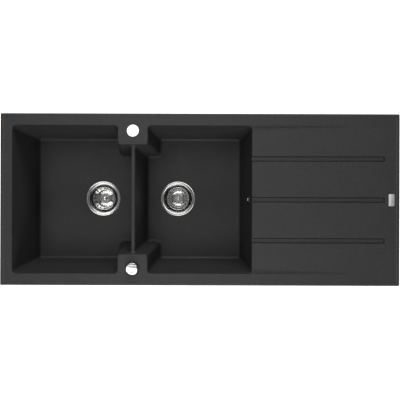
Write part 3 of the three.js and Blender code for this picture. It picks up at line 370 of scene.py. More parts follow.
top_gx, top_gy = (a.ravel() for a in np.meshgrid(top_x, top_y, indexing="ij"))
low_gx, low_gy = (a.ravel() for a in np.meshgrid(low_x, low_y, indexing="ij"))
top_z = height_where(water_side, top_gx, top_gy, underside + 5, lip_height + 2)
low_z = height_where(far_side, low_gx, low_gy, underside - 5, 2.0)
top_loop = rim_loop(len(top_x), len(top_y))
low_loop = rim_loop(len(low_x), len(low_y)) + len(top_gx)
all_x = np.concatenate([top_gx, low_gx])
all_y = np.concatenate([top_gy, low_gy])
all_z = np.concatenate([top_z, low_z])
all_z[low_loop] = 0.0

# Triangles join the two borders, each to the next point along the outline: they are the sink's outer edge.
top_at, outline = border_share(all_x, all_y, top_loop)
low_at, _ = border_share(all_x, all_y, low_loop)
top_end = np.append(top_at[1:], outline)
low_end = np.append(low_at[1:], outline)
low_now = np.searchsorted(low_end, top_end, side="left") % len(low_loop)
top_now = np.searchsorted(top_end, low_end, side="right") % len(top_loop)
side_faces = np.concatenate([
    np.stack([np.roll(top_loop, -1), top_loop, low_loop[low_now]], 1),
    np.stack([low_loop, np.roll(low_loop, -1), top_loop[top_now]], 1),
])


def band_faces(low, high):
    """Four-sided faces between rows of rings, low and high holding the points' numbers of each ring."""
    return np.stack([low, np.roll(low, -1, 1), np.roll(high, -1, 1), high], 2).reshape(-1, 4)


def grid_faces(columns, rows, upwards, first=0):
    """Four-sided faces of a grid, facing up or down."""
    index = np.arange(columns * rows).reshape(columns, rows) + first
    corners = [index[:-1, :-1], index[1:, :-1], index[1:, 1:], index[:-1, 1:]]
    quads = np.stack([c.ravel() for c in corners], 1)
    return quads if upwards else quads[:, ::-1]


def mesh_from(name, points, *face_sets):
    """A mesh from points in metres and arrays of faces."""
    mesh = bpy.data.meshes.new(name)
    mesh.from_pydata(points.tolist(), [], [face for faces in face_sets for face in faces.tolist()])
    mesh.update()
    return mesh


def piece_from(name, mesh, body, replaced=()):
    """A piece from a mesh, riding on a body in place of CAD nodes."""
    piece = bpy.data.objects.new(name, mesh)
    bpy.context.collection.objects.link(piece)
    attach(piece, body)
    if replaced:
        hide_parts(*replaced)
    return piece


all_x, all_y = round_outline(all_x, all_y)
moulding_mesh = mesh_from(
    "sink_moulding",
    np.stack([all_x, all_y, all_z], 1) * MM,
    grid_faces(len(top_x), len(top_y), True),
    grid_faces(len(low_x), len(low_y), False, len(top_gx)),
    side_faces,
)


def turned(name, profile, sides=96, turn=None):
    """A mesh of revolution about Z: point (i, j) is (r_i cos a_j, r_i sin a_j, z_i), a_j = 2 pi j / sides.

    A profile that starts and ends on the axis is closed by it, and any other is closed on itself.
    """
    profile = np.array(profile, dtype=float)
    angle = 2 * np.pi * np.arange(sides) / sides
    ends_on_axis = profile[0, 0] == 0 and profile[-1, 0] == 0
    ring_points = profile[1:-1] if ends_on_axis else profile
    x = ring_points[:, :1] * np.cos(angle)
    y = ring_points[:, :1] * np.sin(angle)
    z = ring_points[:, 1:] + 0 * angle
    points = np.stack([x, y, z], 2).reshape(-1, 3)
    count = len(ring_points)
    index = np.arange(count * sides).reshape(count, sides)
    sets = [band_faces(index[:-1], index[1:]) if ends_on_axis else band_faces(index, np.roll(index, -1, 0))]
    if ends_on_axis:
        base = len(points)
        points = np.vstack([points, [[0, 0, profile[0, 1]], [0, 0, profile[-1, 1]]]])
        first, last = index[0], index[-1]
        sets.append(np.stack([np.full(sides, base), np.roll(first, -1), first], 1))
        sets.append(np.stack([np.full(sides, base + 1), last, np.roll(last, -1)], 1))
    if turn is not None:
        points = points @ np.array(turn).T
    return mesh_from(name, points * MM, *sets)


def arc(centre_r, centre_z, radius, start, end, steps=5):
    """Profile points round a centre, from one angle to another in degrees."""
    angles = np.radians(np.linspace(start, end, steps + 1))
    return [(centre_r + radius * math.cos(a), centre_z + radius * math.sin(a)) for a in angles]


def cylinder(name, radius, foot, top, sides, turn=None):
    """A closed cylinder about Z between two heights, or about another axis after a turn."""
    return turned(name, [(0, foot), (radius, foot), (radius, top), (0, top)], sides, turn)


def points_of(mesh):
    """The points of a mesh in metres, one row each."""
    points = np.empty(len(mesh.vertices) * 3)
    mesh.vertices.foreach_get("co", points)
    return points.reshape(-1, 3)


def with_points(mesh, points):
    """The same mesh after its points have been moved."""
    mesh.vertices.foreach_set("co", points.ravel())
    mesh.update()
    return mesh


def at_place(mesh, x, y, z=0.0, tilt=0.0):
    """Moves a mesh to a place in millimetres, after a tilt about Y in radians."""
    x0, y0, z0 = points_of(mesh).T
    c, s = math.cos(tilt), math.sin(tilt)
    return with_points(mesh, np.stack([x0 * c + z0 * s, y0, z0 * c - x0 * s], 1) + np.array([x, y, z]) * MM)


def rounded_frame(half_x, half_y, corner, steps=8):
    """Plan of a rounded rectangle, counterclockwise: quarter circles of steps + 1 points each."""
    angle = np.linspace(0, np.pi / 2, steps + 1)
    quarter = np.stack([np.cos(angle), np.sin(angle)], 1) * corner
    points = []
    for turn, (sx, sy) in enumerate(((1, 1), (-1, 1), (-1, -1), (1, -1))):
        c, s = round(math.cos(turn * math.pi / 2)), round(math.sin(turn * math.pi / 2))
        u, v = quarter.T
        centre = [sx * (half_x - corner), sy * (half_y - corner)]
        points.append(np.stack([u * c - v * s, u * s + v * c], 1) + centre)
    return np.vstack(points)


def stacked(name, plans, heights):
    """A closed mesh through plans of equal point counts at rising heights, with a flat cap at each end."""
    count = len(plans[0])
    points = np.vstack([np.column_stack([plan, np.full(count, z)]) for plan, z in zip(plans, heights)])
    index = np.arange(len(points)).reshape(len(plans), count)
    return mesh_from(name, points * MM, band_faces(index[:-1], index[1:]), index[:1, ::-1], index[-1:])


def carve(piece, cutters, operation="DIFFERENCE"):
    """Takes closed meshes out of a piece with one exact cut, and keeps the piece's own place."""
    holders = []
    tools = bpy.data.collections.new("cutters")
    for cutter in cutters:
        holder = bpy.data.objects.new(cutter.name, cutter)
        tools.objects.link(holder)
        holders.append(holder)
    bpy.context.scene.collection.children.link(tools)
    modifier = piece.modifiers.new("holes", "BOOLEAN")
    modifier.operation = operation
    modifier.solver = "MANIFOLD"
    modifier.operand_type = "COLLECTION"
    modifier.collection = tools
    done = bpy.data.meshes.new_from_object(piece.evaluated_get(bpy.context.evaluated_depsgraph_get()))
    piece.modifiers.clear()
    piece.data = done
    for holder in holders:
        bpy.data.objects.remove(holder)
    bpy.data.collections.remove(tools)


seat = floor_at_waste - 2.5
hole_radius, hole_y, hole_edge = 17.5, 200.0, 1.0  # the holes of the tap and the waste control
flare = arc(hole_radius + hole_edge, deck - hole_edge, hole_edge, 180, 90)
hole_cutter = [(0, -2), (hole_radius, -2), *flare, (hole_radius + hole_edge, deck + 4), (0, deck + 4)]
seat_cutter = [
    (0, seat), (seat_radius, seat), (seat_radius, floor_at_waste - 0.8),
    (seat_radius + 0.7, floor_at_waste + 0.15), (seat_radius + 0.7, seat + 6), (0, seat + 6)]
throat_radius = 45
cutters = [at_place(turned(f"hole_{side}", hole_cutter, 64), divider_x, side * hole_y) for side in (-1, 1)]
for side, x in waste_x.items():
    cutters.append(at_place(turned(f"seat_{side}", seat_cutter, 128), x, 0))
    cutters.append(at_place(cylinder(f"throat_{side}", throat_radius, underside - 3, seat + 1, 128), x, 0))
overflow_z = deck - 50.0
overflow_x = right_end - outer_draft * depth_share(overflow_z)
overflow_tilt = math.atan(outer_draft / (deck - floor_at_edge))
across_x = ((0, 0, 1), (0, 1, 0), (-1, 0, 0))
overflow_radius = 10


def in_overflow(mesh):
    """Lays a mesh that was turned about X into the overflow's tilted hole."""
    return at_place(mesh, overflow_x, 0, overflow_z, overflow_tilt)


cutters.append(in_overflow(cylinder("overflow_hole", overflow_radius, -2, wall + 3, 48, across_x)))
badge_x, badge_half_x, badge_half_y, badge_corner = length / 2 - 24.2, 8.5, 17.5, 3.0
badge_gap, pocket_depth = 0.8, 0.6
pocket = rounded_frame(*(size + badge_gap for size in (badge_half_x, badge_half_y, badge_corner)))
pocket += [badge_x, 0]
cutters.append(stacked("badge_pocket", [pocket, pocket], [deck - pocket_depth, deck + 4]))
groove_outer, groove_inner, groove_top = 2.7, 10.3, 1.8  # groove of the sealing tape, in from the edge
groove = [rounded_frame(half_l - inset, half_w - inset, 1.0, 1) for inset in (groove_outer, groove_inner)]
ring_count = len(groove[0])
ring_points = np.vstack([np.column_stack([plan, np.full(ring_count, z)]) for plan, z in (
    (groove[0], -3.0), (groove[0], groove_top), (groove[1], groove_top), (groove[1], -3.0))])
rings = np.arange(len(ring_points)).reshape(4, ring_count)
cutters.append(mesh_from("tape_groove", ring_points * MM, band_faces(rings, np.roll(rings, -1, 0))))
drill_radius, drill_top = 2.8, -7.7
for number, (x, y) in enumerate(clip_spots):
    cutters.append(at_place(cylinder(f"drill_{number}", drill_radius, -40, drill_top, 24), x, y))

moulding = piece_from("sink_moulding", moulding_mesh, "sink", ("sink_body",))
carve(moulding, cutters)


def material(name, colour, roughness, metallic=0.0, **constants):
    """A material, with constants set on its shader's own sockets."""
    paint = bpy.data.materials.new(name)
    paint.use_nodes = True
    constants = {"Base_Color": (*colour, 1), "Roughness": roughness, "Metallic": metallic, **constants}
    for socket, value in constants.items():
        paint.node_tree.nodes["Principled BSDF"].inputs[socket.replace("_", " ")].default_value = value
    return paint


def node(paint, kind, settings=None, **inputs):
    """Adds a shader node. An input takes a constant or another node's output; in0 is the first by place."""
    made = paint.node_tree.nodes.new(kind)
    for name, value in (settings or {}).items():
        setattr(made, name, value)
    for key, value in inputs.items():
        socket = made.inputs[int(key[2:]) if key.startswith("in") else key.replace("_", " ")]
        if isinstance(value, bpy.types.NodeSocket):
            paint.node_tree.links.new(value, socket)
        else:
            socket.default_value = value
    return made


def own_place(paint):
    """The Object coordinates of a material, in metres."""
    return node(paint, "ShaderNodeTexCoord").outputs["Object"]


def noise(paint, place, scale, detail, **settings):
    """A noise over a place in metres, scale being its waves per metre."""
    made = node(paint, "ShaderNodeTexNoise", Vector=place, Scale=scale, Detail=detail, **settings)
    return made.outputs["Fac"]


def ramp(paint, value, *stops):
    """A colour ramp over a value; each stop is (place, grey) or (place, colour)."""
    made = node(paint, "ShaderNodeValToRGB", Fac=value)
    while len(made.color_ramp.elements) < len(stops):
        made.color_ramp.elements.new(0.5)
    for element, (place, tone) in zip(made.color_ramp.elements, stops):
        element.position = place
        element.color = (tone, tone, tone, 1) if isinstance(tone, float) else (*tone, 1)
    return made.outputs["Color"]


def wear(paint, socket, value, *stops):
    """Links a value to a socket of the material's shader, through a ramp where stops are given."""
    value = ramp(paint, value, *stops) if stops else value
    paint.node_tree.links.new(value, paint.node_tree.nodes["Principled BSDF"].inputs[socket])


def bump(paint, height, strength, distance):
    """Links a height to the shader's normal."""
    made = node(paint, "ShaderNodeBump", Strength=strength, Distance=distance, Height=height)
    wear(paint, "Normal", made.outputs["Normal"])


def finish(piece, paint, angle=32):
    """Gives a piece its only material and shades it smooth, but for edges over an angle in degrees."""
    piece.data.shade_smooth()
    piece.data.set_sharp_from_angle(angle=math.radians(angle))
    piece.data.materials.clear()
    piece.data.materials.append(paint)


composite = material("black_composite", (0.02, 0.02, 0.02), 0.55, Specular_IOR_Level=0.28)
place = own_place(composite)
fine = noise(composite, place, 1500.0, 3.0, Roughness=0.65)
cells = node(composite, "ShaderNodeTexVoronoi", Vector=place, Scale=520.0)
near_core = ramp(composite, cells.outputs["Distance"], (0.12, 1.0), (0.3, 0.0))
chosen = ramp(composite, cells.outputs["Color"], (0.62, 0.0), (0.7, 1.0))
flecks = node(composite, "ShaderNodeMath", {"operation": "MULTIPLY"}, in0=near_core, in1=chosen).outputs[0]
ground = ramp(composite, fine, (0.38, 0.0148), (0.72, 0.0455))
fleck_tone = (0.1, 0.1, 0.1, 1)
tone = node(composite, "ShaderNodeMix", {"data_type": "RGBA"}, in0=flecks, in6=ground, in7=fleck_tone)
wear(composite, "Base Color", tone.outputs[2])
patches = noise(composite, place, 14.0, 4.0)
wear(composite, "Roughness", patches, (0.35, 0.5), (0.65, 0.58))
bump(composite, fine, 0.35, 0.0003)
finish(moulding, composite)

# ---- Waste flanges ----
# Each is a dish spun from polished stainless steel sheet. Its rolled edge lies on a washer in the
# floor's seat, and the clamp screw under the basket's seal draws it down on the body below.
flange_section = [
    (4.4, -38.2), (35.2, -38.2), (37.0, -37.9), (42.0, -33.6), (43.2, -31.6), (44.4, -4.0), (44.8, 0.2),
    (46.2, 1.2), (56.6, 1.2), *arc(56.9, 1.8, 0.6, -60, 90, 6), (56.2, 2.35), (55.2, 1.98), (53.4, 1.85),
    (51.6, 1.98), (50.2, 2.25), (49.2, 2.38), (48.2, 2.34), (47.0, 2.0), (45.9, 1.4), (45.0, 0.5),
    (44.2, -0.8), (43.6, -2.4), (43.2, -4.2), (42.0, -31.2), (41.0, -33.0), (37.4, -36.0), (35.6, -36.8),
    (34.0, -37.0), (4.4, -37.0),
]
drain_ring, drain_radius = 14, 4.5
cup_drains = [
    (drain_ring * math.cos(a), drain_ring * math.sin(a)) for a in np.radians(np.arange(6) * 60.0)]
ring_wave = 0.314  # metres from ring to ring at scale 1


def metal_of_rings(name, colour, roughness, x, pitch):
    """Polished metal with fine turning marks: rings about an upright axis, pitch metres apart."""
    paint = material(name, colour, roughness, 1.0)
    about = node(paint, "ShaderNodeMapping", Vector=own_place(paint), Location=(-x * MM, 0, 0)).outputs[0]
    marks = node(paint, "ShaderNodeTexWave", {"wave_type": "RINGS", "rings_direction": "Z"}, Vector=about,
                 Scale=ring_wave / pitch, Distortion=1.5, Detail=3.0, Detail_Scale=2.0).outputs["Fac"]
    haze = noise(paint, about, 70.0, 5.0)
    wear(paint, "Roughness", haze, (0.3, roughness), (0.75, roughness + 0.08))
    dull = tuple(0.88 * c for c in colour)
    wear(paint, "Base Color", haze, (0.35, colour), (0.8, dull))
    bump(paint, marks, 0.03, 0.00003)
    return paint


def turned_piece(name, section, sides, at, body, node_name):
    """A piece turned about an upright axis at a place, in the stead of one CAD node."""
    return piece_from(name, at_place(turned(name, section, sides), *at), body, (node_name,))


for side, x in waste_x.items():
    steel = metal_of_rings(f"{side}_spun_steel", (0.42, 0.416, 0.41), 0.13, x, 0.0006)
    flange = turned_piece(
        f"{side}_waste_flange", flange_section, 160, (x, 0, seat), "sink", f"{side}_flange")
    carve(flange, [
        at_place(cylinder("drain", drain_radius, -40, -35, 32), x + dx, dy, seat) for dx, dy in cup_drains])
    finish(flange, steel)

# ---- Lift-out baskets ----
# Each is pressed from thin stainless sheet, with a rolled rim, two rows of slots in its wall and a ring of
# slots in its floor. The raised hub holds a rubber seal below and a turned knob on a stem above.
basket_section = [
    (2.7, -31.0), (8.4, -31.0), (9.0, -31.6), (9.0, -35.0), (19.5, -35.0), (20.0, -34.5), (20.0, -31.9),
    (20.8, -31.3), (29.6, -33.2), (30.8, -33.0), (31.6, -32.3), (37.9, -10.4),
    *arc(37.55, -8.95, 0.95, -20, 200, 9), (36.75, -10.3), (30.5, -31.2), (29.6, -31.9),
    (21.0, -30.0), (19.9, -29.6), (19.5, -29.0), (19.1, -27.2), *arc(17.9, -27.2, 1.2, 0, 90),
    (16.4, -26.0), *arc(16.2, -27.2, 1.2, 90, 180), (14.4, -28.0), (13.6, -28.5), (2.7, -28.5),
]
knob_section = [
    (0, -31.0), (2.4, -31.0), (2.4, -28.5), (3.8, -28.5), (4.0, -28.3), (4.0, -25.2), (4.5, -23.6),
    (6.0, -21.8), (6.25, -21.2), (6.25, -16.4), *arc(4.55, -16.2, 1.7, 0, 90, 6), (2.4, -14.9), (0, -15.1),
]
seal_section = [
    (9.0, -37.0), (18.8, -37.0), (19.7, -36.7), (20.0, -36.1), (19.9, -35.4), (19.5, -35.05), (9.0, -35.05)]
slot_plan = rounded_frame(3.5, 1.4, 1.35, 5)
wall_slot_plan = rounded_frame(3.9, 1.5, 1.45, 5)
slot_count, floor_slot_ring, wall_slot_ring, slot_cut = 18, 25.2, 30.5, 9
floor_slot_drop, wall_slot_drops = 36, (16.2, 24.2)
rubber = material("black_rubber", (0.018, 0.018, 0.018), 0.62)
mottle = noise(rubber, own_place(rubber), 900.0, 4.0)
wear(rubber, "Roughness", mottle, (0.3, 0.52), (0.7, 0.72))
wear(rubber, "Base Color", mottle, (0.3, 0.012), (0.75, 0.03))
bump(rubber, mottle, 0.25, 0.0001)


def directions(angle):
    """Unit vectors outward and round about, at an angle about an upright axis."""
    return np.array((math.cos(angle), math.sin(angle), 0)), np.array((-math.sin(angle), math.cos(angle), 0))


def pressed(name, plan, base, across, up, through):
    """A closed block: a plan (u, v) at base + u across + v up, carried along the vector through."""
    near = np.array(base) + plan[:, :1] * np.array(across) + plan[:, 1:] * np.array(up)
    points = np.vstack([near, near + np.array(through)])
    index = np.arange(len(points)).reshape(2, -1)
    return mesh_from(name, points * MM, band_faces(index[:1], index[1:]), index[:1, ::-1], index[1:])


for side, x in waste_x.items():
    at, body = (x, 0, seat), f"{side}_strainer"
    steel = metal_of_rings(f"{side}_basket_steel", (0.66, 0.655, 0.645), 0.06, x, 0.0007)
    basket = turned_piece(f"{side}_strainer_basket", basket_section, 144, at, body, f"{side}_basket")
    slots = []
    for angle in np.radians(np.arange(slot_count) * 360.0 / slot_count):
        out, round_it = directions(angle)
        base = np.array((x, 0, seat - floor_slot_drop)) + floor_slot_ring * out
        slots.append(pressed("floor_slot", slot_plan, base, out, round_it, (0, 0, slot_cut)))
        for row, drop in enumerate(wall_slot_drops):
            out, round_it = directions(angle + math.radians(180.0 / slot_count * row))
            base = np.array((x, 0, seat - drop)) + wall_slot_ring * out
            slots.append(pressed("wall_slot", wall_slot_plan, base, round_it, (0, 0, 1), slot_cut * out))
    carve(basket, slots)
    finish(basket, steel)
    knob = turned_piece(f"{side}_strainer_knob", knob_section, 64, at, body, f"{side}_basket_knob")
    finish(knob, steel)
    seal = turned_piece(f"{side}_strainer_seal", seal_section, 96, at, body, f"{side}_basket_seal")
    finish(seal, rubber)

# ---- Waste control ----
# A chromed knob turns on the front ledge above a thin dark plate with its rubber washer. The knob is a cast
# disc with a broad grip bar across it, and every edge of it is rounded before it is plated.
control_y = -hole_y
chrome = material("polished_chrome", (0.58, 0.585, 0.59), 0.14, 1.0)
smear = noise(chrome, own_place(chrome), 120.0, 6.0, Roughness=0.6)
wear(chrome, "Roughness", smear, (0.35, 0.1), (0.75, 0.24))
bump(chrome, smear, 0.02, 0.0002)
spindle_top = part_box("control_spindle")[1][2] / MM - deck
knob_radius, knob_foot, knob_deck, knob_top, knob_edge = 17.5, 3.3, 9.3, 14.3, 1.8
grip_radius, grip_half, grip_power, grip_edge = 17.0, 9.5, 26, 1.6


def grip_plan(inset, turns=96):
    """Plan of the grip bar: radius (R^-n + (h / |sin a|)^-n)^(-1/n), a disc of R cut by two lines at h."""
    a = 2 * np.pi * np.arange(turns) / turns + 0.0001
    disc, line = grip_radius - inset, (grip_half - inset) / np.abs(np.sin(a))
    r = (disc**-grip_power + line**-grip_power) ** (-1 / grip_power)
    return np.stack([r * np.cos(a), r * np.sin(a)], 1)


knob_base = turned("control_knob", [
    (0, spindle_top + 0.3), (5.3, spindle_top + 0.3), (5.3, knob_foot), (knob_radius - 0.5, knob_foot),
    (knob_radius, knob_foot + 0.5), (knob_radius, 7.4),
    *arc(knob_radius - knob_edge, 7.5, knob_edge, 0, 90, 8), (0, knob_deck)], 128)
crown = arc(0, knob_top - grip_edge, grip_edge, 0, 90, 7)
grip_insets = [-0.45, -0.45, -0.2, 0.0, 0.0] + [grip_edge - r for r, _ in crown]
grip_heights = [8.6, knob_deck, 9.45, 9.9, 12.6] + [z for _, z in crown]
grip = stacked("grip", [grip_plan(inset) for inset in grip_insets], grip_heights)


def join_in(piece, meshes):
    """Unites closed meshes with a piece, as carve takes them out."""
    carve(piece, meshes, "UNION")


control_at = (divider_x, control_y, deck)
control_knob = piece_from(
    "control_knob_cast", at_place(knob_base, *control_at), "control", ("control_knob",))
join_in(control_knob, [at_place(grip, *control_at)])
finish(control_knob, chrome)

plastic = material("moulded_plastic", (0.012, 0.012, 0.0125), 0.38, Specular_IOR_Level=0.35)
grain = noise(plastic, own_place(plastic), 1400.0, 3.0)
flow = noise(plastic, own_place(plastic), 24.0, 3.0)
wear(plastic, "Base Color", flow, (0.35, 0.009), (0.7, 0.016))
wear(plastic, "Roughness", grain, (0.3, 0.32), (0.7, 0.44))
bump(plastic, grain, 0.2, 0.00008)
plate_section = [(5.4, 1.0), (19.3, 1.0), (20.0, 1.5), *arc(19.0, 2.0, 1.0, 0, 90), (5.4, 3.0)]
plate = turned_piece("control_plate", plate_section, 96, control_at, "sink", "control_escutcheon")
finish(plate, plastic)

# ---- Union and lock nuts ----
# The nuts of the outlets and of the control's threaded shank are moulded plastic rings. They are tightened by
# hand, so flutes run round them between two plain rounded rims.
def nut_section(inner, outer, foot, top, edge=1.4):
    """Closed section of a nut, with its upper and lower outer edges rounded."""
    return [(inner, foot), *arc(outer - edge, foot + edge, edge, -90, 0), (outer, (foot + top) / 2),
            *arc(outer - edge, top - edge, edge, 0, 90), (inner, top)]


def fluted(name, profile, flutes, depth, from_radius, sides):
    """A turned closed profile whose radius beyond a limit falls by depth (1 + cos(flutes a)) / 2 squared."""
    mesh = turned(name, profile, sides)
    points = points_of(mesh)
    r = np.hypot(points[:, 0], points[:, 1])
    a = np.arctan2(points[:, 1], points[:, 0])
    cut = np.where(r > from_radius * MM, depth * MM * ((1 + np.cos(flutes * a)) / 2) ** 2, 0)
    points[:, :2] *= (1 - cut / r)[:, None]
    return with_points(mesh, points)


union_section = nut_section(24.6, 30.0, -100.0, -86.0)
for side, x in waste_x.items():
    name = f"{side}_union_nut"
    nut_mesh = fluted(name, union_section, flutes=22, depth=1.5, from_radius=28.9, sides=220)
    at_place(nut_mesh, x, 0, seat)
    finish(piece_from(name, nut_mesh, "sink", (f"{side}_outlet_nut",)), plastic)
lock_section = nut_section(17.1, 25.0, *(corner[2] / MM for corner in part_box("control_lock_nut")))
nut_mesh = fluted("control_nut", lock_section, flutes=20, depth=1.4, from_radius=23.9, sides=200)
at_place(nut_mesh, divider_x, control_y)
finish(piece_from("control_nut", nut_mesh, "sink", ("control_lock_nut",)), plastic)

# ---- Badge plate ----
# A small plate of brushed aluminium lies in a shallow pocket at the sink's right edge and is glued there.
# Its upper edges are eased all round, and its face is left bare.
badge_alloy = material("brushed_aluminium", (0.88, 0.88, 0.885), 0.45, 1.0)
brushing = node(badge_alloy, "ShaderNodeMapping", Vector=own_place(badge_alloy), Scale=(3500.0, 90.0, 90.0))
lines = noise(badge_alloy, brushing.outputs[0], 1.0, 3.0)
wear(badge_alloy, "Roughness", lines, (0.3, 0.4), (0.7, 0.52))
wear(badge_alloy, "Base Color", lines, (0.3, 0.82), (0.7, 0.93))
bump(badge_alloy, lines, 0.1, 0.00005)
badge_low, badge_high = (corner[2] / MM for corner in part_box("badge_plate"))
badge_edge = 0.4
badge_insets = (0, 0, 0.12, badge_edge)
badge_heights = [badge_low, badge_high - badge_edge, badge_high - 0.12, badge_high]
badge_plans = [
    rounded_frame(badge_half_x - inset, badge_half_y - inset, badge_corner - inset) + [badge_x, 0]
    for inset in badge_insets]
badge = piece_from("badge", stacked("badge", badge_plans, badge_heights), "sink", ("badge_plate",))
finish(badge, badge_alloy)

# ---- Overflow cover ----
# A shallow rosette of dark plastic with eight water holes covers the overflow in the right bowl's wall. The
# domed chromed head of its screw stands in its middle. The screw runs through to the elbow behind the wall.
cover_section = [
    (2.4, -2.9), (5.6, -2.9), (6.2, -3.2), (10.6, -3.3), (12.2, -2.9), (12.9, -2.1), (13.0, -1.2),
    (13.0, -0.3), (2.4, -0.3)]
screw_top_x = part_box("overflow_screw")[1][0] / MM
screw_end = (screw_top_x - overflow_x) / math.cos(overflow_tilt) - 0.4
screw_section = [
    (0, -5.6), (1.8, -5.55), (3.2, -5.3), (4.3, -4.8), (4.9, -4.2), (5.0, -3.6), (2.0, -3.6),
    (2.0, screw_end), (0, screw_end)]
hole_ring, rosette_hole = 9, 1.8
cover = piece_from(
    "overflow_rosette", in_overflow(turned("overflow_rosette", cover_section, 96, across_x)),
    "sink", ("overflow_cover",))
hole_spots = [(hole_ring * math.cos(a), hole_ring * math.sin(a)) for a in 2 * math.pi * np.arange(8) / 8]
carve(cover, [
    in_overflow(at_place(cylinder("hole", rosette_hole, -6, 3, 24, across_x), 0, y, z))
    for y, z in hole_spots])
finish(cover, plastic)
button = piece_from(
    "overflow_button", in_overflow(turned("overflow_button", screw_section, 48, across_x)),
    "sink", ("overflow_screw",))
finish(button, chrome)

# ---- Overflow hose ----
# A ribbed hose of soft dark plastic takes the overflow's water from the elbow down the bowl's wall, round one
# bend and along under the floor to the waste body. Plain cuffs at its ends grip their pipes.
elbow_x, hose_start, hose_bend, hose_end = 27.8, -32.3, 45.0, -9.8
hose_root, hose_crest, hose_cuff, hose_bore = 10.2, 12.0, 24.0, 8.0
port_drop = 30.0  # the waste body's port below the seat
hose_end_z = seat - port_drop
start_x = overflow_x + elbow_x * math.cos(overflow_tilt) + hose_start * math.sin(overflow_tilt)
start_z = overflow_z - elbow_x * math.sin(overflow_tilt) + hose_start * math.cos(overflow_tilt)
sweep = math.pi / 2 - overflow_tilt
tangent = hose_bend * math.tan(sweep / 2)
drop = (start_z - hose_end_z) / math.cos(overflow_tilt) - tangent
corner_x = start_x - (start_z - hose_end_z) * math.tan(overflow_tilt)
hose_length = drop + hose_bend * sweep + corner_x - tangent - hose_end
rib_pitch = 5.5
cuff_start = hose_length - hose_cuff
ribs = int((hose_length - 2 * hose_cuff) // rib_pitch)
s = np.concatenate([
    [0, 0.8], np.linspace(2, hose_cuff, 8), np.linspace(hose_cuff, cuff_start, ribs * 10 + 1)[1:],
    np.linspace(cuff_start, hose_length - 2, 8)[1:], [hose_length - 0.8, hose_length]])


def hose_middle(s):
    """Middle line by length: straight down the wall, round an arc, then straight along -X."""
    heading = overflow_tilt + np.clip((s - drop) / hose_bend, 0, sweep)
    on_wall = np.minimum(s, drop)
    beyond = np.maximum(s - drop - hose_bend * sweep, 0)
    x = start_x - on_wall * math.sin(overflow_tilt) - beyond
    z = start_z - on_wall * math.cos(overflow_tilt)
    turned_x = hose_bend * (np.cos(heading) - math.cos(overflow_tilt))
    turned_z = -hose_bend * (np.sin(heading) - math.sin(overflow_tilt))
    return x + turned_x, z + turned_z, heading


def hose_surface(radius, s, sides=40):
    """Points of a pipe of varying radius on the middle line: across the heading and across Y."""
    x, z, heading = (a[:, None] for a in hose_middle(s))
    a = 2 * np.pi * np.arange(sides) / sides
    across = radius[:, None] * np.cos(a)
    beside = radius[:, None] * np.sin(a) + 0 * x
    return np.stack([x + across * np.cos(heading), beside, z - across * np.sin(heading)], 2)


ribbed = (s > hose_cuff) & (s < cuff_start)
phase = (s - hose_cuff) / (hose_length - 2 * hose_cuff) * ribs
swell = np.where(ribbed, np.sin(np.pi * (phase % 1)) ** 0.7, 0)
outer_r = hose_root + (hose_crest - hose_root) * swell - 0.5 * ((s < 0.5) | (s > hose_length - 0.5))
outside = hose_surface(outer_r, s)
inside = hose_surface(np.full(len(s), hose_bore), s)[::-1]
hose_points = np.vstack([outside.reshape(-1, 3), inside.reshape(-1, 3)])
loop = np.arange(len(hose_points)).reshape(2 * len(s), -1)
hose_mesh = mesh_from("overflow_hose_ribbed", hose_points * MM, band_faces(np.roll(loop, -1, 0), loop))
hose = piece_from("overflow_hose_ribbed", hose_mesh, "sink", ("overflow_hose",))
finish(hose, plastic, 60)

# ---- Waste bodies and outlet pipes ----
# A moulded plastic funnel hangs under each bowl: a flange on small gussets against the lower washer, a hub on
# three ribs for the clamp screw, and a socket for the outlet pipe. The right one also has the overflow's
# port, the hole of the lift lever's shaft and an ear for the control cable.
body_inner, body_outer, funnel_foot, pipe_top, pipe_foot = 45.4, 48.9, -68.0, -79.3, -104.0
pipe_inner, pipe_outer = 21.0, 24.0
hub_inner, hub_middle, rib_width = 7.0, -45.0, 3.0
gusset_top, gusset_width, ear_back, ear_width = -12.1, 2.0, -9.0, 3.0
bore_radius, shaft_hole, ferrule_hole = 8, 3.3, 4.3
body_section = [
    (24.3, -82.5), (26.8, -82.5), (27.3, -82.0), (27.3, -77.8), (28.2, -76.6), (47.9, -68.6), (48.7, -67.9),
    (body_outer, -67.0), (body_outer, -12.6), (49.3, -12.2), (52.4, -12.2), (52.9, -11.7), (52.9, -9.7),
    (52.4, -9.2), (body_inner, -9.2), (body_inner, funnel_foot + 1.75), (pipe_inner, -77.0),
    (pipe_inner, -79.0), (24.3, -79.0)]
hub_section = [(4.3, -50.0), (7.4, -50.0), (8.0, -49.4), (8.0, -40.6), (7.4, -40.0), (4.3, -40.0)]
pipe_section = [
    (pipe_inner, pipe_foot), (23.5, pipe_foot), (pipe_outer, pipe_foot + 0.5), (pipe_outer, pipe_top - 0.5),
    (23.5, pipe_top), (pipe_inner, pipe_top)]
rib_plan = rounded_frame((body_inner - hub_inner) / 2 + 0.5, 3.0, 0.5, 2)
gusset_plan = np.array([(0, -9.0), (3.7, 0), (0, 0)])
port_section = [
    (pipe_inner - 14, body_inner + 1.5), (11.0, body_inner + 1.5), (11.0, 60.4), (10.5, 60.9), (7.0, 60.9)]
ear_plan = rounded_frame(8.5, 14.25, 3.0, 5)
ferrule_low, ferrule_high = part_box("right_cable_ferrule")
cable_y, cable_z = ((low + high) / 2 / MM for low, high in zip(ferrule_low[1:], ferrule_high[1:]))
shaft_x, shaft_z = 24.68, seat - 58.8
along_minus_y = ((1, 0, 0), (0, 0, -1), (0, 1, 0))


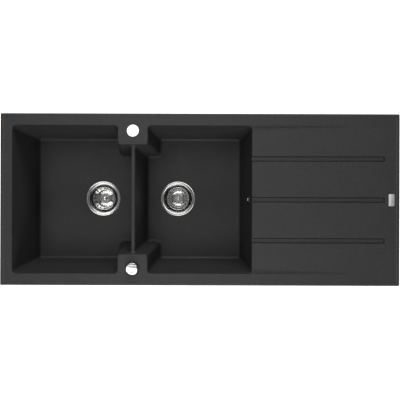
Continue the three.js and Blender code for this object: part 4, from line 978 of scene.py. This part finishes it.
def spokes(x, angles, plan, radius, z, depth):
    """Flat blocks standing round an axis: plan (outward, up) at a radius and height, depth thick about it."""
    blocks = []
    for a in np.radians(angles):
        out, round_it = directions(a)
        base = np.array((x, 0, z)) + out * radius + round_it * depth / 2
        blocks.append(pressed("spoke", plan, base, out, (0, 0, 1), -round_it * depth))
    return blocks


for side, x in waste_x.items():
    at = (x, 0, seat)
    funnel = turned_piece(
        f"{side}_waste_funnel", body_section, 160, at, "sink", f"{side}_waste_body")
    parts = [at_place(turned("hub", hub_section, 48), *at)]
    parts += spokes(x, (60, 180, 300), rib_plan, (body_inner + hub_inner) / 2, seat + hub_middle, rib_width)
    gusset_angles = np.arange(12) * 30.0 + 15
    parts += spokes(x, gusset_angles, gusset_plan, body_outer - 0.3, seat + gusset_top, gusset_width)
    if side == "right":
        parts.append(at_place(turned("port", port_section, 64, across_x), x, 0, seat - port_drop))
        ear_base = (x + ear_back, cable_y + 0.5, cable_z + 6.25)
        parts.append(pressed("ear", ear_plan, ear_base, (0, 1, 0), (0, 0, 1), (ear_width, 0, 0)))
    join_in(funnel, parts)
    if side == "right":
        carve(funnel, [
            at_place(cylinder("bore", bore_radius, 40, 70, 48, across_x), x, 0, seat - port_drop),
            at_place(cylinder("shaft_hole", shaft_hole, 20, 60, 32, along_minus_y), x + shaft_x, 0, shaft_z),
            at_place(cylinder("ferrule_hole", ferrule_hole, -12, -3, 40, across_x), x, cable_y, cable_z),
        ])
    finish(funnel, plastic)
    finish(turned_piece(
        f"{side}_outlet_pipe", pipe_section, 96, at, "sink", f"{side}_tail_pipe"), plastic)

# ---- Control housing ----
# Below the ledge the control's threaded shank widens into a round case for the cable drum, closed by a flat
# cover. Both are moulded from the same dark plastic, and the shank's thread runs up to the deck.
thread_crest, thread_root, thread_half_pitch, case_radius = 16.8, 16.15, 0.75, 21.5
thread_heights = np.arange(-17.0, 0.2, thread_half_pitch)
thread = [(thread_crest if number % 2 else thread_root, z) for number, z in enumerate(thread_heights)]
housing_section = [
    (19.0, -34.5), (case_radius, -34.5), (case_radius, -19.0), *arc(case_radius - 1, -19.0, 1.0, 0, 90),
    (17.2, -18.0), *thread, (16.6, 0.6), (16.2, 1.0), (5.3, 1.0), (5.3, -20.5), (19.0, -20.5)]
lid_section = [
    (0, -36.6), (14, -36.6), (14.6, -37.0), (case_radius - 0.6, -37.0), (case_radius, -36.4),
    (case_radius, -34.6), (0, -34.6)]
housing = turned_piece("control_case", housing_section, 96, control_at, "sink", "control_housing")
finish(housing, plastic)
lid = turned_piece("control_lid", lid_section, 96, control_at, "sink", "control_cover")
finish(lid, plastic)

# ---- Fixing clips, lift gear and cable ends ----
# Clip arms and screws are pressed and turned steel, zinc plated, and so are the spindle, the cable's ferrule
# and its wire. The clamp screws and the lift pin are bare stainless steel.
def finish_nodes(paint, *names):
    """Gives carried CAD nodes a material through their own slots."""
    for name in names:
        for material_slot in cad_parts[name].material_slots:
            material_slot.material = paint


zinc = material("zinc_plate", (0.55, 0.56, 0.57), 0.34, 1.0)
place = own_place(zinc)
spangle = node(zinc, "ShaderNodeTexVoronoi", Vector=place, Scale=420.0).outputs["Color"]
stain = noise(zinc, place, 60.0, 5.0)
wear(zinc, "Roughness", spangle, (0.2, 0.28), (0.8, 0.44))
wear(zinc, "Base Color", stain, (0.32, (0.42, 0.43, 0.43)), (0.7, (0.62, 0.63, 0.65)))
bump(zinc, stain, 0.15, 0.0002)
finish_nodes(zinc, "control_spindle", "right_cable_ferrule", "right_cable_core",
             *(f"clip_{kind}_{number}" for kind in ("arm", "screw") for number in range(1, 9)))
drawn = material("drawn_steel", (0.62, 0.615, 0.6), 0.28, 1.0)
stretched = node(drawn, "ShaderNodeMapping", Vector=own_place(drawn), Scale=(60.0, 60.0, 2200.0)).outputs[0]
turning = noise(drawn, stretched, 1.0, 4.0)
wear(drawn, "Roughness", turning, (0.3, 0.22), (0.7, 0.38))
bump(drawn, turning, 0.12, 0.00008)
finish_nodes(drawn, "left_clamp_screw", "right_clamp_screw", "right_lift_pin")

# ---- Elbow, drum, lever, cable sheath, washers and sealing tape ----
# The elbow, drum, lever and sheath are moulded in the same plastic as the wastes. The washers are black
# rubber, and a strip of closed-cell foam lies in the groove under the rim.
finish_nodes(plastic, "overflow_elbow", "cable_drum", "right_lift_lever", "cable_sheath")
finish_nodes(rubber, "overflow_gasket", "control_gasket",
             *(f"{side}_{level}_gasket" for side in waste_x for level in ("upper", "lower")))
foam = material("foam_tape", (0.05, 0.05, 0.05), 0.9)
place = own_place(foam)
pores = node(foam, "ShaderNodeTexVoronoi", Vector=place, Scale=1600.0).outputs["Distance"]
wear(foam, "Base Color", pores, (0.15, 0.02), (0.6, 0.075))
wear(foam, "Roughness", pores, (0.1, 0.95), (0.7, 0.8))
bump(foam, pores, 0.6, 0.0003)
finish_nodes(foam, "sealing_tape")
